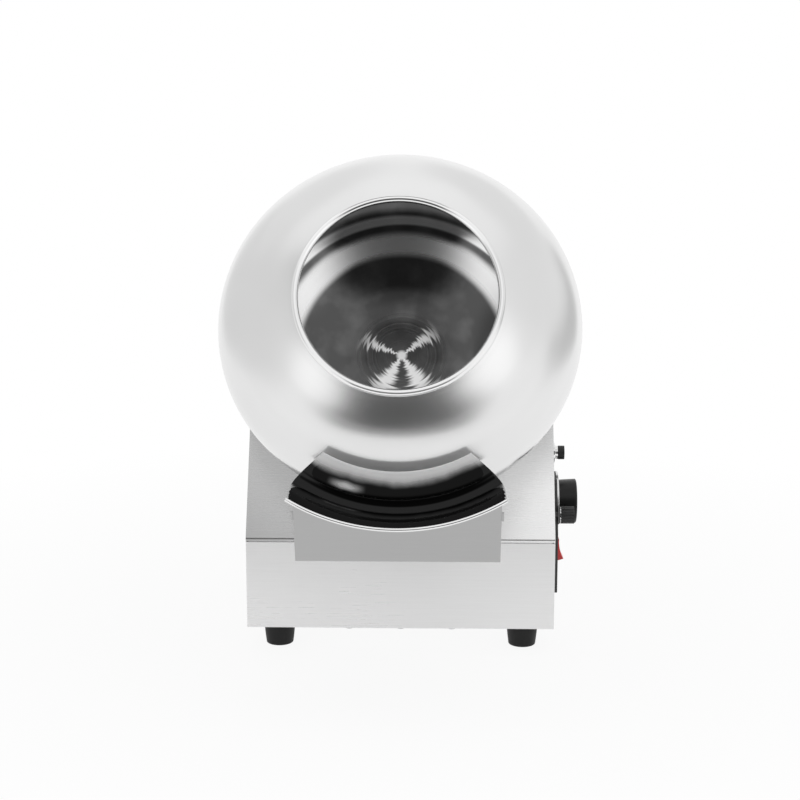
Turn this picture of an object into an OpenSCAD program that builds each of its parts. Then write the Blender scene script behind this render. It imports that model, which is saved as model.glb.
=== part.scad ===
// Tabletop chocolate coating pan: a tilted spun drum on a box base with a curved chute in front.
// Lengths are in mm, X to the right, Y to the back, Z up, with the origin on the table under the base.

/* [Drum] */
// Largest outer radius of the pot
drum_r = 200; // [190:1:208]
// Depth of the front half if its curve ran on to a point
front_b = 115.5; // [108:0.5:122]
// Depth of the back half if its curve ran on to a point
back_b = 104.5; // [98:0.5:108]
// Radius of the mouth at the middle of its bead
mouth_r = 108.5; // [95:0.5:118]
// Thickness of the pot wall
wall = 1.5; // [1:0.1:2.5]
// Diameter of the rolled mouth bead
bead_d = 7.5; // [5:0.1:9]
// Radius of the flat seat at the back of the pot
seat_r = 48; // [42:1:60]
// Tilt of the drum axis above the horizontal
tilt = 28; // [24:0.5:32]
// Distance from the drum's widest circle to the sloped panel
panel_gap = 125; // [122:0.5:132]

/* [Base] */
// Width of the base
base_w = 352; // [330:1:380]
// Depth of the base
base_d = 320; // [300:1:350]
// Height of the vertical front face
front_h = 105.5; // [98:0.5:115]
// Height of the base above the table, at its top
top_z = 390; // [380:1:410]
// Distance up the slope from the fold to the drum axis
shaft_up = 212; // [200:1:220]
// Thickness of the panels
sheet = 1.5; // [1:0.1:2]
// Height of the cover's lip below the fold
fold_lip = 3; // [2:0.1:5]
// Gap of the seam under the lip
seam = 1; // [0.5:0.1:1.5]
// Depth of the strip that backs the seam
seam_back = 10; // [7:0.5:14]
// Width of one vent slot
vent_w = 3.5; // [2.5:0.1:5]
// Height of one vent slot
vent_h = 46; // [30:1:60]
// Number of vent slots
vent_count = 12; // [6:1:16]
// Pitch of the vent slots
vent_pitch = 9; // [8:0.5:11]
// Height of the middle of the vents
vent_z = 300; // [260:1:320]

/* [Feet] */
// Height of a rubber foot
foot_h = 26.5; // [22:0.5:32]
// Top radius of a rubber foot
foot_top_r = 18.5; // [16:0.5:20]
// Bottom radius of a rubber foot
foot_bottom_r = 15.7; // [14:0.1:16]
// Distance of the feet from the sides of the base
foot_side = 35; // [28:0.5:45]
// Distance of the feet from the front and back of the base
foot_end = 28; // [24:0.5:40]
// Depth of the screw pocket in a foot
foot_pocket = 14; // [10:0.5:18]
// Radius of the foot screws
foot_screw_r = 3; // [2:0.5:4]

/* [Bottom hatch] */
// Width of the bottom hatch
hatch_w = 130; // [110:1:160]
// Depth of the bottom hatch
hatch_d = 120; // [90:1:150]
// Thickness of the bottom hatch
hatch_t = 2; // [1.5:0.1:3]
// Distance of the hatch from the front face
hatch_front = 6; // [4:0.5:20]
// Lap of the hatch on the base pan
hatch_lap = 12; // [10:1:16]
// Radius of the hatch's screws
hatch_screw_r = 2; // [1.5:0.5:2.5]

/* [Chute] */
// Drop of the chute's own axis below the drum axis
chute_drop = 31; // [28:0.5:34]
// How far the chute's back edge lies inside the drum's radius
edge_in = 47.4; // [42:0.2:50]
// Place of the back edge ahead of the drum's widest circle
edge_z = 65; // [62:0.5:70]
// How far the chute's crease lies inside the drum's radius
crease_in = 11; // [6:0.5:16]
// Place of the crease ahead of the drum's widest circle
crease_z = 31; // [28:0.5:34]
// How far the chute's lip lies outside the drum's radius
lip_out = 17.7; // [12:0.1:24]
// Place of the lip ahead of the drum's widest circle
lip_z = 84; // [78:0.5:90]
// Half angle of the back edge
edge_a = 30.3; // [26:0.1:34]
// Half angle of the crease
crease_a = 36; // [32:0.1:38]
// Half angle of the lip
lip_a = 31; // [28:0.1:34]
// Length of the rounding on each side of the crease
crease_round = 14; // [8:0.5:20]
// Thickness of the chute sheet
chute_t = 1.5; // [1:0.1:2]
// Outer diameter of the rolled chute bead
lip_d = 4; // [3:0.1:9]
// Diameter of the open core of the chute bead
lip_core = 2.4; // [1.5:0.1:5]

/* [Bracket] */
// How far the bracket's sides lie inside the chute's
bracket_in = 2.1; // [1:0.1:8]
// Thickness of the chute bracket
bracket_t = 2; // [1.5:0.1:3]
// Clearance between the bracket's edge and the chute
bracket_gap = 0.3; // [0.2:0.05:1]
// Radius of the bracket's screws
bracket_screw_r = 2.5; // [2:0.5:3]
// Height of the bracket's shelf above the fold
shelf_up = 8; // [6:0.5:12]
// Reach of the shelf in front of the front face
shelf_reach = 118.5; // [112:0.5:122]
// Height of the bracket's upstand
upstand_h = 82; // [70:1:90]
// Lean of the upstand towards the front
upstand_lean = 21.5; // [16:0.5:24]
// Height of the bracket's flange up the slope
flange_h = 30; // [24:1:40]
// Width of the small ears at the upstand's upper corners
ear_w = 2.5; // [1.5:0.1:4]
// Height of the ears
ear_h = 11; // [8:0.5:14]
// Height of the lower end of the ears above the shelf
ear_up = 54; // [48:0.5:58]

/* [Drive] */
// Diameter of the drum shaft
shaft_d = 20; // [18:0.5:22]
// Running clearance of the shafts in their bushes, on the radius
run_gap = 0.05; // [0.02:0.01:0.08]
// Radius of the hub's flange
hub_flange_r = 44; // [38:1:47]
// Thickness of the hub's flange
hub_flange_t = 5; // [4:0.5:7]
// Radius of the hub's boss
hub_boss_r = 21; // [19:0.5:25]
// Length of the hub's boss
hub_boss_l = 12; // [9:0.5:13]
// Radius of the hub's set screw
set_r = 3; // [2:0.25:3.5]
// Radius of the shaft seal
seal_r = 32; // [28:0.5:36]
// Thickness of the shaft seal
seal_t = 4; // [3:0.5:5]
// Thickness of the gearbox mounting plate
plate_t = 4; // [3:0.5:6]
// Width of the gearbox mounting plate
plate_w = 140; // [130:1:160]
// Reach of the mounting plate above the shaft
plate_up = 70; // [64:1:74]
// Reach of the mounting plate below the shaft
plate_down = 108; // [102:1:116]
// Width of the gearbox
box_w = 114; // [112:1:124]
// Reach of the gearbox above the shaft
box_up = 57; // [56:0.5:62]
// Reach of the gearbox below the layshaft
box_down = 41; // [40:0.5:46]
// Wall of the gearbox
box_wall = 6; // [5:0.5:7]
// Thickness of the gearbox's front wall
box_face = 8; // [7:0.5:10]
// Depth of the gearbox without its cover
box_depth = 44; // [43:0.5:48]
// Thickness of the gearbox cover
cover_t = 8; // [7:0.5:10]
// Radius of the corner posts
post_r = 8; // [7:0.5:8.5]
// Outer radius of the drum shaft's bushes
bush_r = 14; // [13:0.5:16]
// Diameter of the layshaft
lay_d = 12; // [10:0.5:13]
// Outer radius of the layshaft's bushes
lay_bush_r = 9; // [8:0.5:10]
// Module of the slow gear pair
slow_m = 1.5; // [1.45:0.01:1.55]
// Module of the fast gear pair
fast_m = 1; // [0.95:0.01:1.05]
// Teeth on each wheel
wheel_teeth = 60; // [60:12:60]
// Teeth on each pinion
pinion_teeth = 12; // [12:1:12]
// Backlash on each tooth flank
flank_gap = 0.15; // [0.1:0.01:0.2]
// Thickness of the slow gear pair
slow_t = 14; // [12:0.5:15]
// Thickness of the fast gear pair
fast_t = 10; // [8:0.5:11]
// Gap between the gears and the gearbox walls
gear_gap = 3; // [2:0.1:3.5]
// Gap between the two gear pairs
stage_gap = 4; // [3:0.1:5]
// Width of the gear key
key_w = 6; // [5:0.5:8]
// Depth of the key in the shaft and in the wheel
key_h = 3; // [2.5:0.1:3.5]
// Direction of the motor from the layshaft
motor_turn = 30; // [30:6:30]
// Radius of the gearbox bolts
bolt_r = 4; // [3:0.25:4.5]
// Radius of the cover screws
cover_screw_r = 2.5; // [2:0.25:3]

/* [Motor] */
// Radius of the motor can
can_r = 36; // [34:0.5:38]
// Length of the motor can
can_l = 88; // [84:1:94]
// Wall of the motor can
can_wall = 3; // [2.5:0.1:3.5]
// Thickness of the can's front wall
can_face = 9; // [8.5:0.5:10]
// Thickness of the magnets
magnet_t = 6; // [5:0.1:7]
// Length of the rotor core
core_l = 54; // [48:1:56]
// Gap between the can's front wall and the core
core_end = 4; // [3:0.5:6]
// Gap between the core and the commutator
comm_gap = 1; // [0.5:0.1:1.5]
// Air gap between the core and the magnets
air_gap = 1; // [0.6:0.1:1.2]
// Slots in the rotor core
core_slots = 12; // [8:1:14]
// Diameter of the rotor shaft
rotor_d = 7; // [6.5:0.1:7.4]
// Outer radius of the ball bearings
ball_r = 11; // [10:0.5:12]
// Width of the ball bearings
ball_w = 7; // [6:0.5:8]
// Radius of the commutator
comm_r = 10; // [9:0.5:12]
// Length of the commutator
comm_l = 12; // [10:0.5:13]
// Length of the motor's end cap
cap_l = 12; // [11:0.5:16]
// Radius of the motor bolts
motor_bolt_r = 2.5; // [2:0.25:3]
// Pitch radius of the motor bolts
motor_bolt_pitch = 24; // [22:0.5:26]

/* [Control plate] */
// Thickness of the control plate
panel_t = 4; // [3:0.5:5]
// Distance of the speed knob, the switch and the fuse behind the base's front
control_back = 72; // [64:1:76]
// Height of the speed knob above the table
knob_z = 160; // [156:1:164]
// Reach of the plate behind the controls
panel_back = 38; // [37:0.5:44]
// Reach of the plate in front of the controls
panel_front = 59; // [58:0.5:62]
// Height of the plate's lower edge
panel_low = 66; // [60:1:72]
// Height of the plate's upper edge
panel_high = 192; // [188:1:196]
// Height of the plate's slanted corner
panel_corner = 136; // [130:1:140]

/* [Speed knob] */
// Radius of the dial disc
dial_r = 35; // [32:0.5:35]
// Thickness of the dial disc
dial_t = 2.6; // [2:0.1:3]
// Radius of the speed knob
knob_r = 26; // [23:0.5:28]
// Length of the speed knob
knob_l = 21; // [18:0.5:24]
// Gap under the knobs
knob_gap = 0.6; // [0.4:0.1:0.9]
// Rounding of the knob's face
knob_edge = 4; // [2.5:0.1:5]
// Outer radius of the potentiometer's bushing
bushing_r = 4.75; // [4.5:0.05:5.2]
// Radius of the speed spindle
spindle_r = 3; // [2.5:0.1:3.2]
// Radius of the speed potentiometer
pot_r = 12; // [11:0.5:14]
// Length of the speed potentiometer
pot_l = 12; // [10:0.5:15]
// Thickness of the bushing's nut
nut_t = 2.4; // [2:0.1:3]
// Depth of the hollow under the knob
knob_hollow = 7; // [6:0.1:9]

/* [Trim knob] */
// Distance of the trim knob in front of the speed knob
trim_front = 46.2; // [46:0.1:48]
// Height of the trim knob below the speed knob
trim_down = 5; // [2:0.5:8]
// Radius of the trim knob
trim_r = 10; // [9:0.1:10.2]
// Length of the trim knob
trim_l = 16.5; // [14:0.5:19]
// Grooves around the trim knob
trim_grooves = 18; // [12:1:22]
// Radius of a groove
groove_r = 0.9; // [0.6:0.1:1]
// Thickness of the collar under the trim knob
collar_t = 1.4; // [1:0.1:2]
// Outer radius of the trim potentiometer's bushing
trim_bushing_r = 3.5; // [3.2:0.1:4]
// Radius of the trim spindle
trim_spindle_r = 2; // [1.6:0.1:2.4]
// Radius of the trim potentiometer
trim_pot_r = 8; // [7:0.5:9]
// Length of the trim potentiometer
trim_pot_l = 9; // [8:0.5:12]

/* [Rocker switch] */
// Height of the switch above the table
switch_z = 102; // [98:1:104]
// Length of the rocker
rocker_l = 25; // [22:0.5:26]
// Width of the rocker
rocker_w = 18; // [15:0.5:20]
// Resting angle of the rocker each way
rocker_a = 13; // [10:0.5:15]
// Clearance around the rocker
rocker_gap = 0.5; // [0.4:0.1:0.8]
// Height of the rocker's pivot above the plate
pivot_up = 1; // [0.5:0.1:2]
// Radius of the rocker's pivot
pivot_r = 1.5; // [1.2:0.1:1.8]
// Width of the switch frame around the opening
frame_rim = 4; // [3:0.1:5]
// Height of the switch frame above the plate
frame_t = 2.2; // [1.8:0.1:3]
// Wall of the switch body
switch_wall = 2; // [1.5:0.1:2.5]
// Depth of the switch body below the plate
switch_depth = 24; // [20:0.5:28]

/* [Fuse holder] */
// Height of the fuse holder above the table
fuse_z = 218; // [212:1:222]
// Radius of the fuse nut
fuse_nut_r = 12; // [11:0.5:13]
// Thickness of the fuse nut
fuse_nut_t = 2.5; // [2:0.1:3]
// Radius of the fuse collar and cap
fuse_cap_r = 8; // [7.5:0.1:9]
// Length of the bright collar
fuse_collar_l = 3.8; // [3:0.1:5]
// Length of the black cap
fuse_cap_l = 7; // [5:0.1:9]
// Radius of the fuse body
fuse_body_r = 6; // [5.8:0.1:7]
// Length of the fuse body behind the side panel
fuse_body_l = 34; // [33:0.5:40]
// Radius of the fuse carrier
carrier_r = 4.2; // [4:0.1:4.5]
// Length of the fuse carrier
carrier_l = 18; // [15:0.5:20]
// Length of the glass fuse
fuse_l = 20; // [18:0.5:22]
// Radius of the glass fuse
fuse_r = 2.5; // [2.4:0.1:2.7]

/* [Power inlet and board] */
// Height of the power inlet above the table
inlet_z = 80; // [70:1:100]
// Distance of the power inlet from the base's left side
inlet_in = 66; // [46:1:86]
// Width of the inlet's cavity
inlet_w = 24; // [23:0.1:25]
// Height of the inlet's cavity
inlet_h = 16.4; // [16:0.1:18]
// Depth of the inlet's cavity
inlet_depth = 17; // [16:0.1:19]
// Wall of the inlet
inlet_wall = 2; // [1.5:0.1:2.5]
// Width of the inlet's flange on each side
inlet_flange = 11; // [10:0.5:13]
// Thickness of the inlet's flange
inlet_flange_t = 2.5; // [2:0.1:3]
// Length of the speed board
board_l = 110; // [90:1:120]
// Width of the speed board
board_w = 80; // [70:1:90]
// Thickness of the speed board
board_t = 1.6; // [1.2:0.1:2]
// Height of the board's posts
board_up = 10; // [8:0.5:14]
// Radius of the board's posts
board_post_r = 4; // [3:0.5:5]
// Distance of the board's middle from the base's left side
board_in = 76; // [66:1:86]
// Distance of the board's middle behind the base's middle
board_back = 10; // [0:1:30]
// Distance of the board's posts from its edges
board_edge = 6; // [5:0.5:8]
// Number of fins on the board's heat sink
fin_count = 7; // [4:1:8]
// Spacing of the heat sink's fins
fin_pitch = 6; // [4:0.5:7]
// Thickness of the heat sink's fins
fin_t = 1.5; // [1:0.1:2]
// Depth of the heat sink
sink_w = 22; // [16:1:26]
// Height of the heat sink
sink_h = 26; // [18:1:30]
// Radius of the large capacitor
big_cap_r = 11; // [8:0.5:12]
// Height of the large capacitor
big_cap_h = 30; // [22:1:34]
// Radius of the small capacitor
small_cap_r = 8; // [5:0.5:9]
// Height of the small capacitor
small_cap_h = 22; // [14:1:26]
// Length of the terminal block
terminal_l = 48; // [40:1:50]
// Width of the terminal block
terminal_w = 14; // [10:0.5:15]
// Height of the terminal block
terminal_h = 12; // [9:0.5:14]
// Width of the relay
relay_w = 14; // [10:0.5:15]
// Depth of the relay
relay_l = 18; // [14:0.5:20]
// Height of the relay
relay_h = 16; // [12:0.5:20]
// Radius of the wires
wire_r = 1.2; // [0.8:0.1:1.5]

/* [Hidden] */
$fn = 72;
fine = 160;
eps = 0.01;

// Places along Y and Z that follow from the sizes
half_w = base_w / 2;
inlet_x = -half_w + inlet_in;
half_d = base_d / 2;
control_front = half_d - control_back;
fold_z = foot_h + front_h;
slope_top_y = -half_d + (top_z - fold_z) * tan(tilt);
pierce_y = -half_d + shaft_up * sin(tilt);
pierce_z = fold_z + shaft_up * cos(tilt);
drum_y = pierce_y - panel_gap * cos(tilt);
drum_z = pierce_z + panel_gap * sin(tilt);
pan_top = foot_h + sheet;

// Places along the drum axis, counted from the drum's widest circle towards the mouth
mouth_z = front_b * sqrt(1 - pow(mouth_r / drum_r, 2));
seat_z = -back_b * sqrt(1 - pow(seat_r / drum_r, 2));
slope_z = -panel_gap;
plate_front = slope_z - sheet;
box_front = plate_front - plate_t;
box_back = box_front - box_depth;
cover_back = box_back - cover_t;
slow_front = box_front - box_face - gear_gap;
fast_front = slow_front - slow_t - stage_gap;
can_back = cover_back - can_l;
cap_back = can_back - cap_l;
core_front = cover_back - can_face - core_end;
comm_front = core_front - core_l - comm_gap;
key_l = slow_t - 2;
set_z = seat_z - hub_flange_t - hub_boss_l / 2;

// Centres of the gears across the drum axis
slow_gap = slow_m * (wheel_teeth + pinion_teeth) / 2;
fast_gap = fast_m * (wheel_teeth + pinion_teeth) / 2;
lay_y = -slow_gap;
motor_x = fast_gap * cos(motor_turn);
motor_y = lay_y + fast_gap * sin(motor_turn);
box_low = lay_y - box_down;
box_h = box_up - box_low;
box_post_x = box_w / 2 - box_wall;
box_post_up = box_up - box_wall;
box_post_low = box_low + box_wall;
bolt_x = box_post_x - 1;
bolt_up = box_post_up - 1;
bolt_low = box_post_low + 1;

// Places of the controls along X and Y
side_x = half_w;
plate_x = side_x + panel_t;
disc_x = plate_x + dial_t;
knob_x = disc_x + knob_gap;
trim_y = -control_front - trim_front;
trim_z = knob_z - trim_down;
trim_x = plate_x + collar_t + knob_gap;
pot_x = side_x - sheet;
pivot_x = plate_x + pivot_up;
open_l = rocker_l + 2.4;
open_w = rocker_w + 2 * rocker_gap;
body_l = open_l + 2 * switch_wall;
body_w = open_w + 2 * switch_wall;

// Frames that the pieces are drawn in
module axis_frame() {
    translate([0, drum_y, drum_z]) rotate([90 - tilt, 0, 0]) children();
}
module along_x(w) {
    rotate([90, 0, 90]) translate([0, 0, -w / 2]) linear_extrude(w) children();
}
// A cylinder that points to the right from x
module rod_x(x, y, z, r, l) {
    translate([x, y, z]) rotate([0, 90, 0]) cylinder(h = l, r = r);
}
// A round solid in the drum's frame that runs back from z
module rod_back(x, y, z, r, l) {
    translate([x, y, z - l]) cylinder(h = l, r = r);
}
module block_back(x, y, z, w, h, l) {
    translate([x - w / 2, y, z - l]) cube([w, h, l]);
}

// Gear outline with straight flanks, its first tooth on +X turned by `turn`
module gear_2d(m, teeth, turn) {
    pr = m * teeth / 2;
    tip = pr + 0.75 * m;
    root = pr - 1.1 * m;
    half_mid = 90 / teeth - flank_gap / pr * 180 / PI;
    half_tip = half_mid - 0.75 * m * tan(22) / pr * 180 / PI;
    half_root = half_mid + 0.55 * m * tan(20) / pr * 180 / PI;
    polygon([for (k = [0 : teeth - 1]) let (c = 360 / teeth * k + turn)
        for (p = [[root, -half_root], [pr, -half_mid], [tip, -half_tip],
                  [tip, half_tip], [pr, half_mid], [root, half_root]])
            [p[0] * cos(c + p[1]), p[0] * sin(c + p[1])]]);
}

// Drum
function shell_pts() = [
    for (i = [0 : 40]) let (a = acos(mouth_r / drum_r) * (1 - i / 40))
        [drum_r * cos(a), front_b * sin(a)],
    for (i = [1 : 36]) let (a = acos(seat_r / drum_r) * i / 36)
        [drum_r * cos(a), -back_b * sin(a)],
    [0, seat_z], [0, seat_z + wall],
    for (i = [0 : 36]) let (a = acos(seat_r / (drum_r - wall)) * (1 - i / 36))
        [(drum_r - wall) * cos(a), -(back_b - wall) * sin(a)],
    for (i = [1 : 40]) let (a = acos(mouth_r / (drum_r - wall)) * i / 40)
        [(drum_r - wall) * cos(a), (front_b - wall) * sin(a)]
];
module drum_shell() color("gainsboro") axis_frame()
    rotate_extrude($fn = fine) polygon(shell_pts());
module mouth_bead() color("white") axis_frame()
    rotate_extrude($fn = fine) difference() {
        translate([mouth_r, mouth_z]) circle(d = bead_d, $fn = 36);
        polygon(shell_pts());
    }
module drum_hub() color("dimgray") axis_frame() difference() {
    union() {
        rod_back(0, 0, seat_z, hub_flange_r, hub_flange_t);
        rod_back(0, 0, seat_z - hub_flange_t, hub_boss_r, hub_boss_l);
    }
    rod_back(0, 0, seat_z + 1, shaft_d / 2, hub_flange_t + hub_boss_l + 2);
    translate([0, 0, set_z]) rotate([-90, 0, 0]) cylinder(h = hub_boss_r + 1, r = set_r);
}
module hub_screw() color("black") axis_frame() difference() {
    translate([0, 0, set_z]) rotate([-90, 0, 0]) cylinder(h = hub_boss_r - 1, r = set_r);
    rod_back(0, 0, seat_z + 1, shaft_d / 2, hub_flange_t + hub_boss_l + 2);
    translate([0, hub_boss_r - 3, set_z]) rotate([-90, 0, 0]) cylinder(h = 3, r = set_r * 0.55, $fn = 6);
}
module drum_shaft() color("silver") axis_frame() difference() {
    rod_back(0, 0, seat_z, shaft_d / 2, seat_z - cover_back);
    key_block();
}
module key_block() {
    translate([-key_w / 2, shaft_d / 2 - key_h, slow_front - slow_t / 2 - key_l / 2])
        cube([key_w, 2 * key_h, key_l]);
}
module gear_key() color("goldenrod") axis_frame() key_block();
module output_gear() color("darkgoldenrod") axis_frame() difference() {
    translate([0, 0, slow_front - slow_t]) linear_extrude(slow_t) gear_2d(slow_m, wheel_teeth, 0);
    rod_back(0, 0, slow_front + 1, shaft_d / 2, slow_t + 2);
    for (a = [30 : 60 : 330])
        rod_back(28 * cos(a), 28 * sin(a), slow_front + 1, 7, slow_t + 2);
    key_block();
}

// Gearbox
module shaft_seal() color("dimgray") axis_frame() difference() {
    rod_back(0, 0, slope_z + seal_t, seal_r, seal_t);
    rod_back(0, 0, slope_z + seal_t + 1, shaft_d / 2 + 0.3, seal_t + 2);
}
module bolt_holes(r, z, l) {
    for (x = [-bolt_x, bolt_x], y = [bolt_low, bolt_up]) rod_back(x, y, z, r, l);
}
module gear_plate() color("slategray") axis_frame() difference() {
    block_back(0, -plate_down, plate_front, plate_w, plate_down + plate_up, plate_t);
    rod_back(0, 0, plate_front + 1, bush_r, plate_t + 2);
    bolt_holes(bolt_r, plate_front + 1, plate_t + 2);
}
module gearbox_housing() color("steelblue") axis_frame() difference() {
    block_back(0, box_low, box_front, box_w, box_h, box_depth);
    difference() {
        block_back(0, box_low + box_wall, box_front - box_face, box_w - 2 * box_wall,
            box_h - 2 * box_wall, box_depth);
        for (x = [-box_post_x, box_post_x], y = [box_post_low, box_post_up])
            rod_back(x, y, box_front, post_r, box_depth);
    }
    rod_back(0, 0, box_front + 1, bush_r, box_face + 2);
    rod_back(0, lay_y, box_front + 1, lay_bush_r, box_face + 2);
    bolt_holes(bolt_r, box_front + 1, 15);
    bolt_holes(cover_screw_r, box_back + 14, 15);
}
module gearbox_cover() color("cornflowerblue") axis_frame() difference() {
    block_back(0, box_low, box_back, box_w, box_h, cover_t);
    rod_back(0, 0, box_back + 1, bush_r, cover_t + 2);
    rod_back(0, lay_y, box_back + 1, lay_bush_r, cover_t + 2);
    rod_back(motor_x, motor_y, box_back + 1, rotor_d / 2 + 2, cover_t + 2);
    bolt_holes(cover_screw_r, box_back + 1, cover_t + 2);
    motor_bolt_rods(box_back + 1, motor_bolt_r, cover_t + 2);
}
module bush_pair(y, outer, inner) {
    for (z = [box_front, box_back]) difference() {
        rod_back(0, y, z, outer, z == box_front ? box_face : cover_t);
        rod_back(0, y, z + 1, inner, box_face + cover_t);
    }
}
module output_bushes() color("peru") axis_frame() bush_pair(0, bush_r, shaft_d / 2 + run_gap);
module layshaft_bushes() color("sandybrown") axis_frame() bush_pair(lay_y, lay_bush_r, lay_d / 2 + run_gap);
module layshaft() color("lightsteelblue") axis_frame()
    rod_back(0, lay_y, box_front - 1, lay_d / 2, box_depth + cover_t - 2);
module layshaft_pinion() color("khaki") axis_frame() difference() {
    translate([0, lay_y, slow_front - slow_t - stage_gap]) linear_extrude(slow_t + stage_gap)
        gear_2d(slow_m, pinion_teeth, 180 / pinion_teeth);
    rod_back(0, lay_y, slow_front + 1, lay_d / 2, slow_t + stage_gap + 2);
}
module layshaft_gear() color("orange") axis_frame() difference() {
    translate([0, lay_y, fast_front - fast_t]) linear_extrude(fast_t) gear_2d(fast_m, wheel_teeth, 0);
    rod_back(0, lay_y, fast_front + 1, lay_d / 2, fast_t + 2);
}
module gearbox_bolts() color("black") axis_frame() for (x = [-bolt_x, bolt_x], y = [bolt_low, bolt_up]) {
    rod_back(x, y, slope_z, bolt_r, sheet + plate_t + 13);
    translate([x, y, slope_z]) cylinder(h = bolt_r, r = bolt_r * 1.6);
}
module cover_screws() color("black") axis_frame() for (x = [-bolt_x, bolt_x], y = [bolt_low, bolt_up]) {
    rod_back(x, y, box_back + 12, cover_screw_r, cover_t + 12);
    rod_back(x, y, cover_back, cover_screw_r * 1.7, cover_screw_r);
}

// Motor
module motor_bolt_rods(z, r, l) {
    for (a = [60 : 120 : 300])
        rod_back(motor_x + motor_bolt_pitch * cos(a), motor_y + motor_bolt_pitch * sin(a), z, r, l);
}
module motor_can() color("darkslategray") axis_frame() difference() {
    rod_back(motor_x, motor_y, cover_back, can_r, can_l);
    rod_back(motor_x, motor_y, cover_back - can_face, can_r - can_wall, can_l);
    rod_back(motor_x, motor_y, cover_back + 1, rotor_d / 2 + 1, can_l);
    rod_back(motor_x, motor_y, cover_back - can_face + ball_w, ball_r, can_l);
    motor_bolt_rods(cover_back + 1, motor_bolt_r, can_face - 1);
}
module motor_magnets() color("firebrick") axis_frame() difference() {
    rod_back(motor_x, motor_y, core_front, can_r - can_wall, core_l);
    rod_back(motor_x, motor_y, core_front + 1, can_r - can_wall - magnet_t, core_l + 2);
    block_back(motor_x, motor_y - can_r, core_front + 1, can_r * 0.6, 2 * can_r, core_l + 2);
}
module motor_cap() color("gray") axis_frame() difference() {
    rod_back(motor_x, motor_y, can_back, can_r, cap_l);
    rod_back(motor_x, motor_y, can_back + 1, ball_r, ball_w + 1);
}
module motor_bearings() color("silver") axis_frame() for (z = [cover_back - can_face + ball_w, can_back])
    difference() {
        rod_back(motor_x, motor_y, z, ball_r, ball_w);
        rod_back(motor_x, motor_y, z + 1, rotor_d / 2 + run_gap, ball_w + 2);
    }
module motor_brushes() color("black") axis_frame() for (s = [-1, 1])
    translate([motor_x + s * (comm_r + 0.3), motor_y, comm_front - comm_l / 2])
        rotate([0, s * 90, 0]) cylinder(h = can_r - can_wall - comm_r - 0.8, r = 4);
module motor_bolts() color("black") axis_frame() {
    motor_bolt_rods(box_back, motor_bolt_r, cover_t + can_face - 2);
    motor_bolt_rods(box_back + 2, motor_bolt_r * 1.6, 2);
}
module rotor_shaft() color("silver") axis_frame()
    rod_back(motor_x, motor_y, fast_front + 1, rotor_d / 2, fast_front + 1 - can_back + ball_w);
module motor_pinion() color("khaki") axis_frame() difference() {
    translate([motor_x, motor_y, fast_front - fast_t]) linear_extrude(fast_t)
        gear_2d(fast_m, pinion_teeth, motor_turn + 180 + 180 / pinion_teeth);
    rod_back(motor_x, motor_y, fast_front + 1, rotor_d / 2, fast_t + 2);
}
module rotor_core() color("saddlebrown") axis_frame() difference() {
    rod_back(motor_x, motor_y, core_front, can_r - can_wall - magnet_t - air_gap, core_l);
    rod_back(motor_x, motor_y, core_front + 1, rotor_d / 2, core_l + 2);
    for (k = [0 : core_slots - 1]) translate([motor_x, motor_y, core_front - core_l - 1])
        rotate([0, 0, 360 / core_slots * k])
            translate([can_r - can_wall - magnet_t - air_gap - 6, -1, 0]) cube([8, 2, core_l + 2]);
}
module commutator() color("orangered") axis_frame() difference() {
    rod_back(motor_x, motor_y, comm_front, comm_r, comm_l);
    rod_back(motor_x, motor_y, comm_front + 1, rotor_d / 2, comm_l + 2);
}

// Base: its side outline, drawn inside the outer skin by s and down to zb
function side_pts(s, zb) = [
    [-half_d + s, zb],
    [-half_d + s, fold_z - s * tan(tilt / 2)],
    [slope_top_y + s * (1 - sin(tilt)) / cos(tilt), top_z - s],
    [half_d - s, top_z - s],
    [half_d - s, zb]
];
module front_panel() color("lightgray") union() {
    translate([-half_w, -half_d, foot_h]) cube([base_w, sheet, front_h - fold_lip - seam]);
    translate([-half_w + 2 * sheet, -half_d + sheet, fold_z - fold_lip - seam_back])
        cube([base_w - 4 * sheet, sheet, seam_back]);
}
module sloped_cover() color("whitesmoke") difference() {
    along_x(base_w) difference() {
        polygon(side_pts(0, fold_z - fold_lip));
        polygon(side_pts(sheet, foot_h));
        translate([half_d - sheet - eps, foot_h]) square([sheet + 1, top_z - sheet - foot_h]);
    }
    axis_frame() {
        rod_back(0, 0, slope_z + 1, shaft_d / 2 + 4, sheet + 2);
        bolt_holes(bolt_r, slope_z + 1, sheet + 2);
    }
    bracket_screw_rods(slope_z + 1, sheet + 2);
}
module side_skin(x) {
    translate([x, 0, 0]) along_x(sheet) polygon(side_pts(sheet, pan_top));
}
module left_panel() color("darkgray") side_skin(-half_w + sheet / 2);
module right_panel() color("darkgray") difference() {
    side_skin(half_w - sheet / 2);
    side_holes();
}
module side_holes() {
    rod_x(pot_x - 1, -control_front, knob_z, bushing_r, panel_t + sheet + 2);
    rod_x(pot_x - 1, trim_y, trim_z, trim_bushing_r, panel_t + sheet + 2);
    translate([pot_x - 1, -control_front - body_w / 2, switch_z - body_l / 2])
        cube([panel_t + sheet + 2, body_w, body_l]);
    rod_x(pot_x - 1, -control_front, fuse_z, fuse_body_r, sheet + 2);
}
module rear_panel() color("gainsboro") difference() {
    translate([-half_w, half_d - sheet, pan_top]) cube([base_w, sheet, top_z - sheet - pan_top]);
    for (k = [0 : vent_count - 1])
        translate([(k - (vent_count - 1) / 2) * vent_pitch - vent_w / 2, half_d - sheet - 1,
            vent_z - vent_h / 2])
            cube([vent_w, sheet + 2, vent_h]);
    translate([inlet_x - inlet_w / 2 - inlet_wall, half_d - sheet - 1, inlet_z - inlet_h / 2 - inlet_wall])
        cube([inlet_w + 2 * inlet_wall, sheet + 2, inlet_h + 2 * inlet_wall]);
}
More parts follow.
